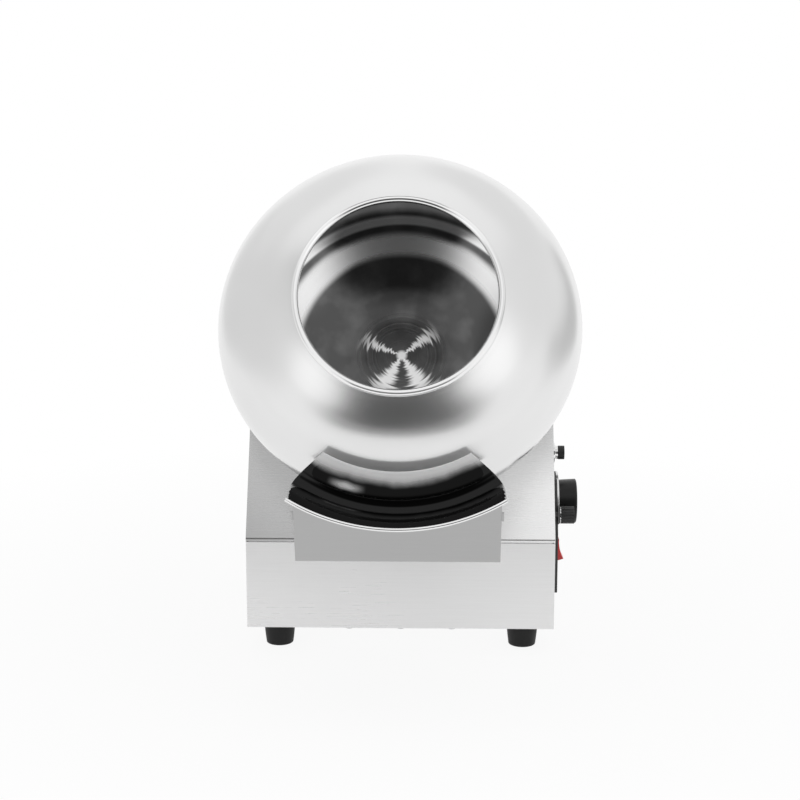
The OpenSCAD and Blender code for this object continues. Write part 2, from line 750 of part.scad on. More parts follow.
module base_pan() color("silver") difference() {
    translate([-half_w, -half_d + sheet, foot_h]) cube([base_w, base_d - sheet, sheet]);
    translate([-hatch_w / 2 + hatch_lap, -half_d + hatch_front + hatch_lap, foot_h - 1])
        cube([hatch_w - 2 * hatch_lap, hatch_d - 2 * hatch_lap, sheet + 2]);
    hatch_screw_rods(foot_h - 1, hatch_screw_r, sheet + 2);
    foot_places() cylinder(h = 3 * foot_h, r = foot_screw_r);
}
module hatch_screw_rods(z, r, l) {
    edge = hatch_lap / 2;
    for (x = [0, -hatch_w / 2 + edge, hatch_w / 2 - edge], y = [edge, hatch_d - edge])
        translate([x, -half_d + hatch_front + y, z]) cylinder(h = l, r = r);
}
module bottom_hatch() color("gray") difference() {
    translate([-hatch_w / 2, -half_d + hatch_front, foot_h - hatch_t]) cube([hatch_w, hatch_d, hatch_t]);
    hatch_screw_rods(foot_h - hatch_t - 1, hatch_screw_r, hatch_t + 2);
}
module hatch_screws() color("black") {
    hatch_screw_rods(foot_h - hatch_t, hatch_screw_r, hatch_t + sheet + 3);
    hatch_screw_rods(foot_h - hatch_t - 1.6, hatch_screw_r * 2, 1.6);
}
module foot_places() {
    for (x = [-1, 1], y = [-1, 1])
        translate([x * (half_w - foot_side), y * (half_d - foot_end), 0]) children();
}
module rubber_feet() color("black") foot_places() difference() {
    rotate_extrude() polygon([
        [0, 0], [foot_bottom_r - 1.8, 0], [foot_bottom_r - 0.5, 0.6], [foot_bottom_r, 2],
        [foot_top_r, foot_h], [0, foot_h]]);
    translate([0, 0, -1]) cylinder(h = foot_pocket + 1, r = foot_screw_r * 2.4);
    cylinder(h = foot_h + 1, r = foot_screw_r);
}
module foot_screws() color("silver") foot_places() {
    translate([0, 0, foot_pocket]) cylinder(h = foot_h - foot_pocket + sheet + 8, r = foot_screw_r);
    translate([0, 0, foot_pocket - 3]) cylinder(h = 3, r = foot_screw_r * 1.8);
    translate([0, 0, pan_top]) cylinder(h = 4, r = foot_screw_r * 1.9, $fn = 6);
}

// Chute: a sheet swept round its own axis, below the drum's
chute_steps = 36;
function lerp(a, b, t) = a + (b - a) * t;
// Profile from the back edge to the lip, rounded at the crease: [radius, place, half angle]
edge_p = [drum_r - edge_in, edge_z];
crease_p = [drum_r - crease_in, crease_z];
bead_p = [drum_r + lip_out, lip_z];
lip_p = bead_p - (bead_p - crease_p) / norm(bead_p - crease_p) * (lip_d / 2 + 0.1);
back_share = crease_round / norm(crease_p - edge_p);
front_share = crease_round / norm(lip_p - crease_p);
round_back = lerp(crease_p, edge_p, back_share);
round_front = lerp(crease_p, lip_p, front_share);
function bend(t) = lerp(lerp(round_back, crease_p, t), lerp(crease_p, round_front, t), t);
function bend_angle(t) = lerp(lerp(lerp(crease_a, edge_a, back_share), crease_a, t),
    lerp(crease_a, lerp(crease_a, lip_a, front_share), t), t);
function chute_line() = concat(
    [for (t = [0 : 0.25 : 0.75]) lerp(edge_p, round_back, t)],
    [for (t = [0 : 0.2 : 1]) bend(t)],
    [for (t = [0.25 : 0.25 : 1]) lerp(round_front, lip_p, t)]
);
function chute_angles() = concat(
    [for (t = [0 : 0.25 : 0.75]) lerp(edge_a, lerp(crease_a, edge_a, back_share), t)],
    [for (t = [0 : 0.2 : 1]) bend_angle(t)],
    [for (t = [0.25 : 0.25 : 1]) lerp(lerp(crease_a, lip_a, front_share), lip_a, t)]
);
function unit(v) = v / norm(v);
// Direction across the sheet, out of its trough
function outward(l, i) = let (d = unit(l[min(i + 1, len(l) - 1)] - l[max(i - 1, 0)])) [d[1], -d[0]];
function swept_point(p, a) = [p[0] * sin(a), -p[0] * cos(a), p[1]];
module chute_pan() color("lightslategray") axis_frame() translate([0, -chute_drop, 0]) {
    line = chute_line();
    angles = chute_angles();
    n = len(line);
    m = chute_steps + 1;
    inner = [for (i = [0 : n - 1], j = [0 : chute_steps])
        swept_point(line[i], lerp(-angles[i], angles[i], j / chute_steps))];
    outer = [for (i = [0 : n - 1], j = [0 : chute_steps])
        swept_point(line[i] + chute_t * outward(line, i), lerp(-angles[i], angles[i], j / chute_steps))];
    o = n * m;
    polyhedron(points = concat(inner, outer), faces = concat(
        [for (i = [0 : n - 2], j = [0 : chute_steps - 1]) [i * m + j, i * m + j + 1, (i + 1) * m + j + 1]],
        [for (i = [0 : n - 2], j = [0 : chute_steps - 1])
            [i * m + j, (i + 1) * m + j + 1, (i + 1) * m + j]],
        [for (i = [0 : n - 2], j = [0 : chute_steps - 1])
            [o + i * m + j, o + (i + 1) * m + j + 1, o + i * m + j + 1]],
        [for (i = [0 : n - 2], j = [0 : chute_steps - 1])
            [o + i * m + j, o + (i + 1) * m + j, o + (i + 1) * m + j + 1]],
        [for (j = [0 : chute_steps - 1]) [j, o + j + 1, j + 1]],
        [for (j = [0 : chute_steps - 1]) [j, o + j, o + j + 1]],
        [for (j = [0 : chute_steps - 1]) let (a = (n - 1) * m + j) [a, a + 1, o + a + 1]],
        [for (j = [0 : chute_steps - 1]) let (a = (n - 1) * m + j) [a, o + a + 1, o + a]],
        [for (i = [0 : n - 2]) [i * m, (i + 1) * m, o + (i + 1) * m]],
        [for (i = [0 : n - 2]) [i * m, o + (i + 1) * m, o + i * m]],
        [for (i = [0 : n - 2]) let (a = i * m + chute_steps, b = a + m) [a, o + b, b]],
        [for (i = [0 : n - 2]) let (a = i * m + chute_steps, b = a + m) [a, o + a, o + b]]
    ));
}
module chute_bead() color("white") axis_frame() translate([0, -chute_drop, 0])
    rotate([0, 0, -90 - lip_a]) rotate_extrude(angle = 2 * lip_a, $fn = fine)
        translate(bead_p) difference() {
            circle(d = lip_d, $fn = 36);
            circle(d = lip_core, $fn = 36);
        }

// Bracket: a flange on the slope, a shelf and a leaning upstand
bracket_w = 2 * (crease_p[0] * sin(crease_a) - bracket_in);
shelf_z = fold_z + shelf_up;
shelf_y = -half_d + shelf_up * tan(tilt);
upstand_y = -half_d - shelf_reach;
upstand_top = [-sin(upstand_lean), cos(upstand_lean)] * upstand_h;
flange_top = [sin(tilt), cos(tilt)] * flange_h;
module bracket_screw_rods(z, l, r = bracket_screw_r) {
    up = -shaft_up + shelf_up / cos(tilt) + flange_h * 0.6;
    axis_frame() for (x = [-0.4, -0.13, 0.13, 0.4]) rod_back(x * bracket_w, up, z, r, l);
}
module chute_bracket() color("gray") difference() {
    union() {
        along_x(bracket_w) polygon([
            [shelf_y, shelf_z],
            [upstand_y, shelf_z],
            [upstand_y, shelf_z] + upstand_top,
            [upstand_y, shelf_z] + upstand_top + [cos(upstand_lean), sin(upstand_lean)] * bracket_t,
            [upstand_y + bracket_t / cos(upstand_lean) - bracket_t * tan(upstand_lean), shelf_z + bracket_t],
            [shelf_y - bracket_t / cos(tilt) + bracket_t * tan(tilt), shelf_z + bracket_t],
            [shelf_y, shelf_z] + flange_top - [cos(tilt), -sin(tilt)] * bracket_t,
            [shelf_y, shelf_z] + flange_top
        ]);
        for (s = [-1, 1]) translate([s * (bracket_w / 2 + ear_w / 2), 0, 0]) along_x(ear_w) polygon([
            for (p = [[0, ear_up], [0, ear_up + ear_h], [bracket_t, ear_up + ear_h], [bracket_t, ear_up]])
                [upstand_y, shelf_z] + [-sin(upstand_lean), cos(upstand_lean)] * p[1]
                    + [cos(upstand_lean), sin(upstand_lean)] * p[0]
        ]);
    }
    axis_frame() translate([0, -chute_drop, 0]) rotate_extrude($fn = fine) polygon(concat(
        [for (p = chute_cut()) p],
        [[0, lip_z + cut_reach], [0, edge_z - cut_reach], [edge_p[0], edge_z - cut_reach]]));
    bracket_screw_rods(slope_z + bracket_t + 1, sheet + bracket_t + 2);
}
// The space above the chute's underside, with a small clearance
cut_reach = 0.3 * drum_r;
function chute_cut() = let (line = chute_line(), c = chute_t + bracket_gap) concat(
    [edge_p + [c, -cut_reach]],
    [for (i = [0 : len(line) - 1]) line[i] + c * outward(line, i)],
    [lip_p + [c, cut_reach]]);
module bracket_screws() color("silver") {
    bracket_screw_rods(slope_z + bracket_t, bracket_t + sheet + 6);
    bracket_screw_rods(slope_z + bracket_t + 2, 2, bracket_screw_r * 1.8);
}

// Controls on the right side
module control_plate() color("dimgray") difference() {
    translate([side_x + panel_t / 2, 0, 0]) along_x(panel_t) polygon([
        [-control_front - panel_front, panel_low],
        [-control_front + panel_back, panel_low],
        [-control_front + panel_back, panel_high],
        [-control_front - panel_front + (panel_high - panel_corner) * tan(tilt), panel_high],
        [-control_front - panel_front, panel_corner]
    ]);
    side_holes();
}
module dial_disc() color("gainsboro") difference() {
    rod_x(plate_x, -control_front, knob_z, dial_r, dial_t);
    rod_x(plate_x - 1, -control_front, knob_z, bushing_r, dial_t + 2);
}
// A solid of turning that points to the right from x
module turned_x(x, y, z) {
    translate([x, y, z]) rotate([0, 90, 0]) rotate_extrude() children();
}
module speed_knob() color("black") difference() {
    turned_x(knob_x, -control_front, knob_z) polygon(concat(
        [[0, 0], [knob_r - 1.5, 0], [knob_r - 0.6, knob_edge * 0.5]],
        [for (a = [0 : 15 : 90])
            [knob_r - knob_edge + knob_edge * cos(a), knob_l - knob_edge + knob_edge * sin(a)]],
        [[0, knob_l]]));
    rod_x(knob_x - 1, -control_front, knob_z, bushing_r + 5, knob_hollow + 1);
    rod_x(knob_x - 1, -control_front, knob_z, spindle_r, knob_l - 3);
}
module speed_spindle() color("silver")
    rod_x(pot_x - pot_l / 2, -control_front, knob_z, spindle_r, knob_x + knob_l - 4 - pot_x + pot_l / 2);
module control_pots() color("seagreen") {
    difference() {
        union() {
            rod_x(pot_x - pot_l, -control_front, knob_z, pot_r, pot_l);
            rod_x(pot_x, -control_front, knob_z, bushing_r, disc_x + nut_t - pot_x);
            rod_x(disc_x, -control_front, knob_z, bushing_r + 3, nut_t);
        }
        rod_x(pot_x - pot_l / 2, -control_front, knob_z, spindle_r + run_gap, pot_l + 40);
    }
    difference() {
        union() {
            rod_x(pot_x - trim_pot_l, trim_y, trim_z, trim_pot_r, trim_pot_l);
            rod_x(pot_x, trim_y, trim_z, trim_bushing_r, plate_x + collar_t - pot_x);
            rod_x(plate_x, trim_y, trim_z, trim_r + 0.8, collar_t);
        }
        rod_x(pot_x - trim_pot_l / 2, trim_y, trim_z, trim_spindle_r + run_gap, trim_pot_l + 40);
    }
}
module trim_knob() color("slategray") union() {
    difference() {
        rod_x(trim_x, trim_y, trim_z, trim_r, trim_l);
        for (k = [0 : trim_grooves - 1]) rotate_about(trim_y, trim_z, 360 / trim_grooves * k)
            rod_x(trim_x + 2, trim_y, trim_z + trim_r, groove_r, trim_l);
    }
    rod_x(pot_x - trim_pot_l / 2, trim_y, trim_z, trim_spindle_r, trim_x - pot_x + trim_pot_l / 2 + 1);
}
module rotate_about(y, z, a) {
    translate([0, y, z]) rotate([a, 0, 0]) translate([0, -y, -z]) children();
}

// Rocker switch
module switch_box(x0, x1, w, l) {
    translate([x0, -control_front - w / 2, switch_z - l / 2]) cube([x1 - x0, w, l]);
}
module switch_frame() color("black") difference() {
    union() {
        switch_box(plate_x, plate_x + frame_t, body_w + 2 * frame_rim, body_l + 2 * frame_rim);
        switch_box(plate_x - switch_depth, plate_x + frame_t, body_w, body_l);
    }
    switch_box(plate_x - switch_depth + 3, plate_x + frame_t + 1, open_w, open_l);
    translate([pivot_x, -control_front, switch_z]) rotate([90, 0, 0])
        cylinder(h = open_w + switch_wall, r = pivot_r + run_gap, center = true);
}
module rocker() color("red") translate([pivot_x, -control_front, switch_z]) {
    rotate([0, -rocker_a, 0]) rotate([90, 0, 0]) translate([0, 0, -rocker_w / 2]) linear_extrude(rocker_w)
        polygon([for (p = [[-6, -0.4], [1, -0.5], [6, -0.48], [4.2, 0], [6, 0.48], [1, 0.5], [-6, 0.4]])
            [p[0], p[1] * rocker_l]]);
    rotate([90, 0, 0]) cylinder(h = open_w + switch_wall - 2 * rocker_gap, r = pivot_r, center = true);
}

// Fuse holder
collar_x = side_x + fuse_nut_t;
cap_x = collar_x + fuse_collar_l + 0.3;
module fuse_collar() color("gainsboro") difference() {
    union() {
        rod_x(side_x, -control_front, fuse_z, fuse_nut_r, fuse_nut_t);
        rod_x(collar_x, -control_front, fuse_z, fuse_cap_r, fuse_collar_l);
    }
    rod_x(side_x - 1, -control_front, fuse_z, fuse_body_r, fuse_nut_t + fuse_collar_l + 2);
}
module fuse_holder() color("black") difference() {
    rod_x(pot_x - fuse_body_l, -control_front, fuse_z, fuse_body_r,
        collar_x + fuse_collar_l - pot_x + fuse_body_l);
    rod_x(pot_x - fuse_body_l + 3, -control_front, fuse_z, carrier_r + run_gap, fuse_body_l + 40);
}
module fuse_cap() color("black") difference() {
    union() {
        rod_x(cap_x, -control_front, fuse_z, fuse_cap_r, fuse_cap_l);
        rod_x(cap_x - carrier_l, -control_front, fuse_z, carrier_r, carrier_l + 1);
    }
    rod_x(cap_x - carrier_l - 1, -control_front, fuse_z, fuse_r, fuse_l / 2 + 1);
}
module glass_fuse() color("lightblue")
    rod_x(cap_x - carrier_l - fuse_l / 2, -control_front, fuse_z, fuse_r, fuse_l);

// Power inlet in the rear panel
inlet_pin_l = 13;
module inlet_box(w, h, y0, l) {
    translate([inlet_x - w / 2, y0, inlet_z - h / 2]) cube([w, l, h]);
}
module power_inlet() color("black") difference() {
    union() {
        inlet_box(inlet_w + 2 * inlet_wall, inlet_h + 2 * inlet_wall,
            half_d - inlet_depth - 3, inlet_depth + 3);
        inlet_box(inlet_w + 2 * inlet_flange, inlet_h + 2 * inlet_wall + 3, half_d, inlet_flange_t);
    }
    inlet_box(inlet_w, inlet_h, half_d - inlet_depth + inlet_flange_t, inlet_depth + 1);
    inlet_pin_places(0) cube([2, 40, 4], center = true);
}
module inlet_pin_places(y) {
    for (p = [[-pin_x, -0.5], [pin_x, -0.5], [0, 2.5]])
        translate([inlet_x + p[0], y + half_d - inlet_depth, inlet_z + p[1]]) children();
}
module inlet_pins() color("silver") inlet_pin_places(0)
    translate([0, -8 + (inlet_pin_l + 11) / 2, 0]) cube([2, inlet_pin_l + 11, 4], center = true);

// Board on posts above the base pan
board_x = -half_w + board_in;
board_y = board_back;
board_z = pan_top + board_up;
sink_at = [-0.38 * board_l, 0.15 * board_w];
big_cap_at = [0.18 * board_l, 0.25 * board_w];
small_cap_at = [0.18 * board_l, -0.1 * board_w];
terminal_at = [-0.36 * board_l, -0.325 * board_w];
relay_at = [0.345 * board_l, -0.375 * board_w];
module board_corners() {
    for (x = [board_edge, board_l - board_edge], y = [board_edge, board_w - board_edge])
        translate([board_x - board_l / 2 + x, board_y - board_w / 2 + y, 0]) children();
}
module speed_board() color("darkgreen") difference() {
    translate([board_x - board_l / 2, board_y - board_w / 2, board_z]) cube([board_l, board_w, board_t]);
    board_corners() cylinder(h = 2 * board_z, r = 1.5);
}
module board_posts() color("goldenrod") board_corners() {
    translate([0, 0, pan_top]) cylinder(h = board_up, r = board_post_r);
    translate([0, 0, board_z]) cylinder(h = board_t, r = 1.5);
    translate([0, 0, board_z + board_t]) cylinder(h = 2, r = 0.75 * board_post_r);
}
module board_parts() color("gray") translate([board_x, board_y, board_z + board_t]) {
    translate(sink_at) {
        for (k = [0 : fin_count - 1]) translate([fin_pitch * k, 0, 0]) cube([fin_t, sink_w, sink_h]);
        cube([fin_pitch * (fin_count - 1) + fin_t, sink_w, 2 * fin_t]);
    }
    translate(big_cap_at) cylinder(h = big_cap_h, r = big_cap_r);
    translate(small_cap_at) cylinder(h = small_cap_h, r = small_cap_r);
    translate(terminal_at) cube([terminal_l, terminal_w, terminal_h]);
    translate(relay_at) cube([relay_w, relay_l, relay_h]);
}

// Wires, each a row of straight runs with round bends, from an inlet pin to the terminal block
pin_back = half_d - inlet_depth - 8.3;
pin_x = 7;
terminal_top = board_z + board_t + terminal_h + 0.3;
terminal_y = board_y + terminal_at[1] + terminal_w / 2;
function wire_line(x, share) = let (x1 = board_x + terminal_at[0] + share * terminal_l) [
    [inlet_x + x, pin_back, inlet_z - 0.5],
    [inlet_x + x, pin_back - 25, inlet_z - 0.5],
    [x1, terminal_y, inlet_z - 10],
    [x1, terminal_y, terminal_top]
];
module wire(pts) {
    for (k = [0 : len(pts) - 2]) {
        d = pts[k + 1] - pts[k];
        translate(pts[k]) rotate([0, acos(d[2] / norm(d)), atan2(d[1], d[0])]) 
            cylinder(h = norm(d), r = wire_r, $fn = 24);
        if (k > 0) translate(pts[k]) sphere(r = wire_r * 1.15, $fn = 24);
    }
}
module wiring() color("red") {
    wire(wire_line(-pin_x, 0.2));
    wire(wire_line(pin_x, 0.5));
}

drum_shell();
mouth_bead();
drum_hub();
hub_screw();
drum_shaft();
gear_key();
output_gear();
shaft_seal();
gear_plate();
gearbox_housing();
gearbox_cover();
output_bushes();
layshaft_bushes();
layshaft();
layshaft_pinion();
layshaft_gear();
gearbox_bolts();
cover_screws();
motor_can();
motor_magnets();
motor_cap();
motor_brushes();
motor_bearings();
motor_bolts();
rotor_shaft();
motor_pinion();
rotor_core();
commutator();
front_panel();
sloped_cover();
left_panel();
right_panel();
rear_panel();
base_pan();
bottom_hatch();
hatch_screws();
rubber_feet();
foot_screws();
chute_pan();
chute_bead();
chute_bracket();
bracket_screws();
control_plate();
dial_disc();
speed_knob();
speed_spindle();
control_pots();
trim_knob();
switch_frame();
rocker();
fuse_collar();
fuse_holder();
fuse_cap();
glass_fuse();
power_inlet();
inlet_pins();
speed_board();
board_posts();
board_parts();
wiring();
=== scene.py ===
# Studio picture of a tabletop chocolate coating pan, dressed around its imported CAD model.
import bpy
import math
from mathutils import Matrix, Vector


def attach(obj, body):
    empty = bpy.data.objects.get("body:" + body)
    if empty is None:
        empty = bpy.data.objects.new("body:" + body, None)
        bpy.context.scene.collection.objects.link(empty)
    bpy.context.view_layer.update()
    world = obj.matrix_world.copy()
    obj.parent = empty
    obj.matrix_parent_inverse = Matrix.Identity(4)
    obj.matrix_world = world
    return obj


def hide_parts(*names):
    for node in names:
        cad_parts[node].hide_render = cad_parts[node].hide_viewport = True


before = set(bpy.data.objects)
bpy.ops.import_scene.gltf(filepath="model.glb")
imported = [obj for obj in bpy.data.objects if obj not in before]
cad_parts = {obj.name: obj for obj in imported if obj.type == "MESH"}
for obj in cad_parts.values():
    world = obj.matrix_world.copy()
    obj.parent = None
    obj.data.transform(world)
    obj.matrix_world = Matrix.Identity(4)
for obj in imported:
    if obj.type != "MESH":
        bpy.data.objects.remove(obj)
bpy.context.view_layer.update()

# Sizes of the real machine, in metres and radians, as in the CAD source
TILT = math.radians(28)
POT_R = 0.200
FRONT_B = 0.1155
BACK_B = 0.1045
MOUTH_R = 0.1085
POT_WALL = 0.0015
BEAD_R = 0.00375
SEAT_R = 0.048
HALF_W = 0.176
HALF_D = 0.160
FOOT_H = 0.0265
FOLD_Z = 0.132
TOP_Z = 0.390
SHEET = 0.0015
SHAFT_UP = 0.212
PANEL_GAP = 0.125
CHUTE_DROP = 0.031
MOUTH_Z = FRONT_B * math.sqrt(1 - (MOUTH_R / POT_R) ** 2)
SEAT_Z = -BACK_B * math.sqrt(1 - (SEAT_R / POT_R) ** 2)
# The axis leaves the slope at the pierce, and points forward and up through the pot's centre
PIERCE = Vector((0, -HALF_D + SHAFT_UP * math.sin(TILT), FOLD_Z + SHAFT_UP * math.cos(TILT)))
POT_AXIS = Vector((0, -math.cos(TILT), math.sin(TILT)))
POT_CENTRE = PIERCE + PANEL_GAP * POT_AXIS
# The drum's own frame has Z along its axis towards the mouth and Y up the slope; the chute's lies below it
DRUM_FRAME = Matrix.Translation(POT_CENTRE) @ Matrix.Rotation(math.pi / 2 - TILT, 4, "X")
CHUTE_FRAME = DRUM_FRAME @ Matrix.Translation((0, -CHUTE_DROP, 0))
# Points closer than this are one point
WELD = 1e-6


# Small modelling helpers
def nothing_selected():
    if bpy.context.object and bpy.context.object.mode == "EDIT":
        bpy.ops.object.mode_set(mode="OBJECT")
    bpy.ops.object.select_all(action="DESELECT")


def only(piece):
    nothing_selected()
    piece.select_set(True)
    bpy.context.view_layer.objects.active = piece


def named(name):
    piece = bpy.context.object
    piece.name = name
    piece.data.name = name
    return piece


def edit_mode(piece):
    only(piece)
    bpy.ops.object.mode_set(mode="EDIT")
    bpy.ops.mesh.select_mode(type="VERT")
    bpy.ops.mesh.select_all(action="DESELECT")


def object_mode():
    bpy.ops.object.mode_set(mode="OBJECT")


def everything():
    bpy.ops.mesh.select_all(action="SELECT")


def pick(piece, kind, test):
    """Selects the vertices, edges or faces of a piece in edit mode that pass a test on their place."""
    bpy.ops.mesh.select_mode(type=kind)
    bpy.ops.mesh.select_all(action="DESELECT")
    object_mode()
    mesh = piece.data
    if kind == "VERT":
        for v in mesh.vertices:
            v.select = bool(test(v.co))
    elif kind == "FACE":
        for f in mesh.polygons:
            f.select = bool(test(f.center, f.normal))
    else:
        for e in mesh.edges:
            a, b = (mesh.vertices[i].co for i in e.vertices)
            e.select = bool(test(a, b))
    bpy.ops.object.mode_set(mode="EDIT")


def finish_modifiers(piece):
    only(piece)
    for m in list(piece.modifiers):
        bpy.ops.object.modifier_apply(modifier=m.name)


def settle(piece, place=None):
    """Puts a piece's place into its mesh, so that its object is at the origin."""
    only(piece)
    if place is not None:
        piece.matrix_world = place @ piece.matrix_world
        bpy.context.view_layer.update()
    bpy.ops.object.transform_apply(location=True, rotation=True, scale=True)
    return piece


def soften(piece, width, segments=2, angle=30):
    """Rounds the edges that are sharper than an angle in degrees."""
    edge = piece.modifiers.new("edge", "BEVEL")
    edge.width = width
    edge.segments = segments
    edge.limit_method = "ANGLE"
    edge.angle_limit = math.radians(angle)
    edge.harden_normals = False
    finish_modifiers(piece)


def thicken(piece, thickness, even=False):
    """Gives a surface its wall, on the side away from its faces."""
    wall = piece.modifiers.new("wall", "SOLIDIFY")
    wall.thickness = thickness
    wall.offset = -1
    wall.use_even_offset = even
    finish_modifiers(piece)


def smooth(piece, angle=35):
    only(piece)
    bpy.ops.object.shade_smooth_by_angle(angle=math.radians(angle))


def keep_flat(piece):
    """Keeps the shading of large flat faces flat right up to their rounded edges."""
    even = piece.modifiers.new("flat_faces", "WEIGHTED_NORMAL")
    even.mode = "FACE_AREA"
    even.keep_sharp = True
    finish_modifiers(piece)


def outwards(piece):
    """Welds a piece and turns its faces outwards."""
    edit_mode(piece)
    everything()
    bpy.ops.mesh.remove_doubles(threshold=WELD)
    bpy.ops.mesh.normals_make_consistent(inside=False)
    object_mode()


def facing(piece, face, way):
    """Turns a sheet over where one face of it looks away from a direction."""
    if face.normal.dot(Vector(way)) < 0:
        edit_mode(piece)
        everything()
        bpy.ops.mesh.flip_normals()
        object_mode()


def join(pieces, name):
    nothing_selected()
    for p in pieces:
        p.select_set(True)
    bpy.context.view_layer.objects.active = pieces[0]
    bpy.ops.object.join()
    return named(name)


def copies(piece, places, name):
    """A copy of a piece at each place, each with its own mesh, joined under one name."""
    made = []
    for place in places:
        only(piece)
        bpy.ops.object.duplicate()
        made.append(settle(bpy.context.object, place))
    only(piece)
    bpy.ops.object.delete()
    return join(made, name)


def line_piece(name, points):
    """An open line of edges, drawn from one vertex by extruding it point by point."""
    bpy.ops.mesh.primitive_plane_add(size=1)
    piece = named(name)
    edit_mode(piece)
    everything()
    bpy.ops.mesh.merge(type="CENTER")
    bpy.ops.transform.translate(value=Vector(points[0]))
    for a, b in zip(points, points[1:]):
        bpy.ops.mesh.extrude_vertices_move(TRANSFORM_OT_translate={"value": Vector(b) - Vector(a)})
    object_mode()
    return piece


def slab(name, outline, run):
    """A closed outline of points, filled and extruded along a run."""
    piece = line_piece(name, outline + outline[:1])
    edit_mode(piece)
    everything()
    bpy.ops.mesh.remove_doubles(threshold=WELD)
    bpy.ops.mesh.edge_face_add()
    bpy.ops.mesh.extrude_region_move(TRANSFORM_OT_translate={"value": run})
    everything()
    bpy.ops.mesh.normals_make_consistent(inside=False)
    object_mode()
    return piece


def spun(piece, steps, angle):
    """Turns a line about Z through an angle in degrees."""
    edit_mode(piece)
    everything()
    bpy.ops.mesh.spin(steps=steps, angle=math.radians(angle), center=(0, 0, 0), axis=(0, 0, 1))
    object_mode()
    return piece


def turned(name, points, steps=96):
    """A solid of turning about Z from a line of (radius, height) points."""
    piece = spun(line_piece(name, [(r, 0, z) for r, z in points]), steps, 360)
    outwards(piece)
    return piece


def turned_part(name, points, steps, angle):
    """A line of (radius, height) points turned about Z, equally to both sides of -Y."""
    start = math.radians(-90 + angle / 2)
    line = line_piece(name, [(r * math.cos(start), r * math.sin(start), z) for r, z in points])
    return spun(line, steps, angle)


def arc(cx, cy, r, a0, a1, n):
    return [(cx + r * math.cos(math.radians(a0 + (a1 - a0) * i / n)),
             cy + r * math.sin(math.radians(a0 + (a1 - a0) * i / n))) for i in range(n + 1)]


def block(name, low, high):
    low, high = Vector(low), Vector(high)
    bpy.ops.mesh.primitive_cube_add(size=1, location=(low + high) / 2)
    piece = named(name)
    piece.scale = high - low
    return settle(piece)


def cut_away(piece, cutter):
    """Takes the cutter's room out of a piece."""
    cut = piece.modifiers.new("cut", "BOOLEAN")
    cut.operation = "DIFFERENCE"
    cut.solver = "EXACT"
    cut.object = cutter
    finish_modifiers(piece)
    only(cutter)
    bpy.ops.object.delete()


def dress(piece, *materials):
    piece.data.materials.clear()
    for m in materials:
        piece.data.materials.append(m)


def shade_slots(piece, choose):
    for f in piece.data.polygons:
        f.material_index = choose(f)


# Finishes
class Nodes:
    """Short ways to add and link the nodes of a material or of the world."""

    def __init__(self, tree):
        self.tree = tree
        tree.nodes.clear()

    def add(self, kind, inputs=None, **settings):
        node = self.tree.nodes.new("ShaderNode" + kind)
        for key, value in settings.items():
            setattr(node, key, value)
        for key, value in (inputs or {}).items():
            if isinstance(value, bpy.types.NodeSocket):
                self.tree.links.new(value, node.inputs[key])
            else:
                node.inputs[key].default_value = value
        return node

    def maths(self, kind, *values, clamp=False):
        return self.add("Math", dict(enumerate(values)), operation=kind, use_clamp=clamp).outputs[0]

    def plus(self, one, other, clamp=False):
        return self.maths("ADD", one, other, clamp=clamp)

    def times(self, one, other):
        return self.maths("MULTIPLY", one, other)

    def less(self, one, other):
        return self.maths("SUBTRACT", one, other, clamp=True)

    def rise(self, value, low, high):
        """Goes softly from 0 at the low value to 1 at the high one."""
        return self.add("MapRange", {"Value": value, "From Min": low, "From Max": high},
                        interpolation_type="SMOOTHSTEP").outputs[0]

    def band(self, value, edges):
        """A band with soft edges: four values, from where it starts to where it has ended."""
        return self.less(self.rise(value, *edges[:2]), self.rise(value, *edges[2:]))

    def mix(self, share, one, other):
        return self.add("Mix", {0: share, 2: one, 3: other}).outputs[0]

    def mix_colours(self, share, one, other):
        return self.add("Mix", {0: share, 6: one, 7: other}, data_type="RGBA").outputs[2]


class Finish(Nodes):
    """A material with a Principled shader and procedural patterns."""

    def __init__(self, name, colour, metal=0.0, rough=0.4):
        self.material = bpy.data.materials.new(name)
        self.material.use_nodes = True
        super().__init__(self.material.node_tree)
        self.end = self.add("OutputMaterial")
        self.shader = self.add("BsdfPrincipled")
        self.tree.links.new(self.shader.outputs[0], self.end.inputs[0])
        self.set("Base Color", (*colour, 1))
        self.set("Metallic", metal)
        self.set("Roughness", rough)

    def set(self, socket, value):
        if isinstance(value, bpy.types.NodeSocket):
            self.tree.links.new(value, self.shader.inputs[socket])
        else:
            self.shader.inputs[socket].default_value = value

    def place(self, scale=(1, 1, 1), location=(0, 0, 0), rotation=(0, 0, 0)):
        coords = self.add("TexCoord")
        return self.add("Mapping", {"Vector": coords.outputs["Object"], "Scale": scale,
                                    "Location": location, "Rotation": rotation}).outputs[0]

    def noise(self, vector, scale, detail=3.0, rough=0.55):
        return self.add("TexNoise", {"Vector": vector, "Scale": scale, "Detail": detail,
                                     "Roughness": rough}).outputs[0]

    def spread(self, value, low, high, from_low=0.3, from_high=0.7):
        return self.add("MapRange", {"Value": value, "From Min": from_low, "From Max": from_high,
                                     "To Min": low, "To Max": high}).outputs[0]

    def vary(self, one, other, middle, reach):
        """Two noises together move a value by a reach about its middle."""
        return self.spread(self.plus(one, other), middle - reach, middle + reach, *TWO_NOISES)

    def tint(self, value, dark, light, low=0.3, high=0.7):
        ramp = self.add("ValToRGB", {"Fac": value})
        ramp.color_ramp.elements[0].position = low
        ramp.color_ramp.elements[0].color = (*dark, 1)
        ramp.color_ramp.elements[1].position = high
        ramp.color_ramp.elements[1].color = (*light, 1)
        return ramp.outputs[0]

    def bump(self, height, strength, distance):
        return self.add("Bump", {"Height": height, "Strength": strength, "Distance": distance}).outputs[0]


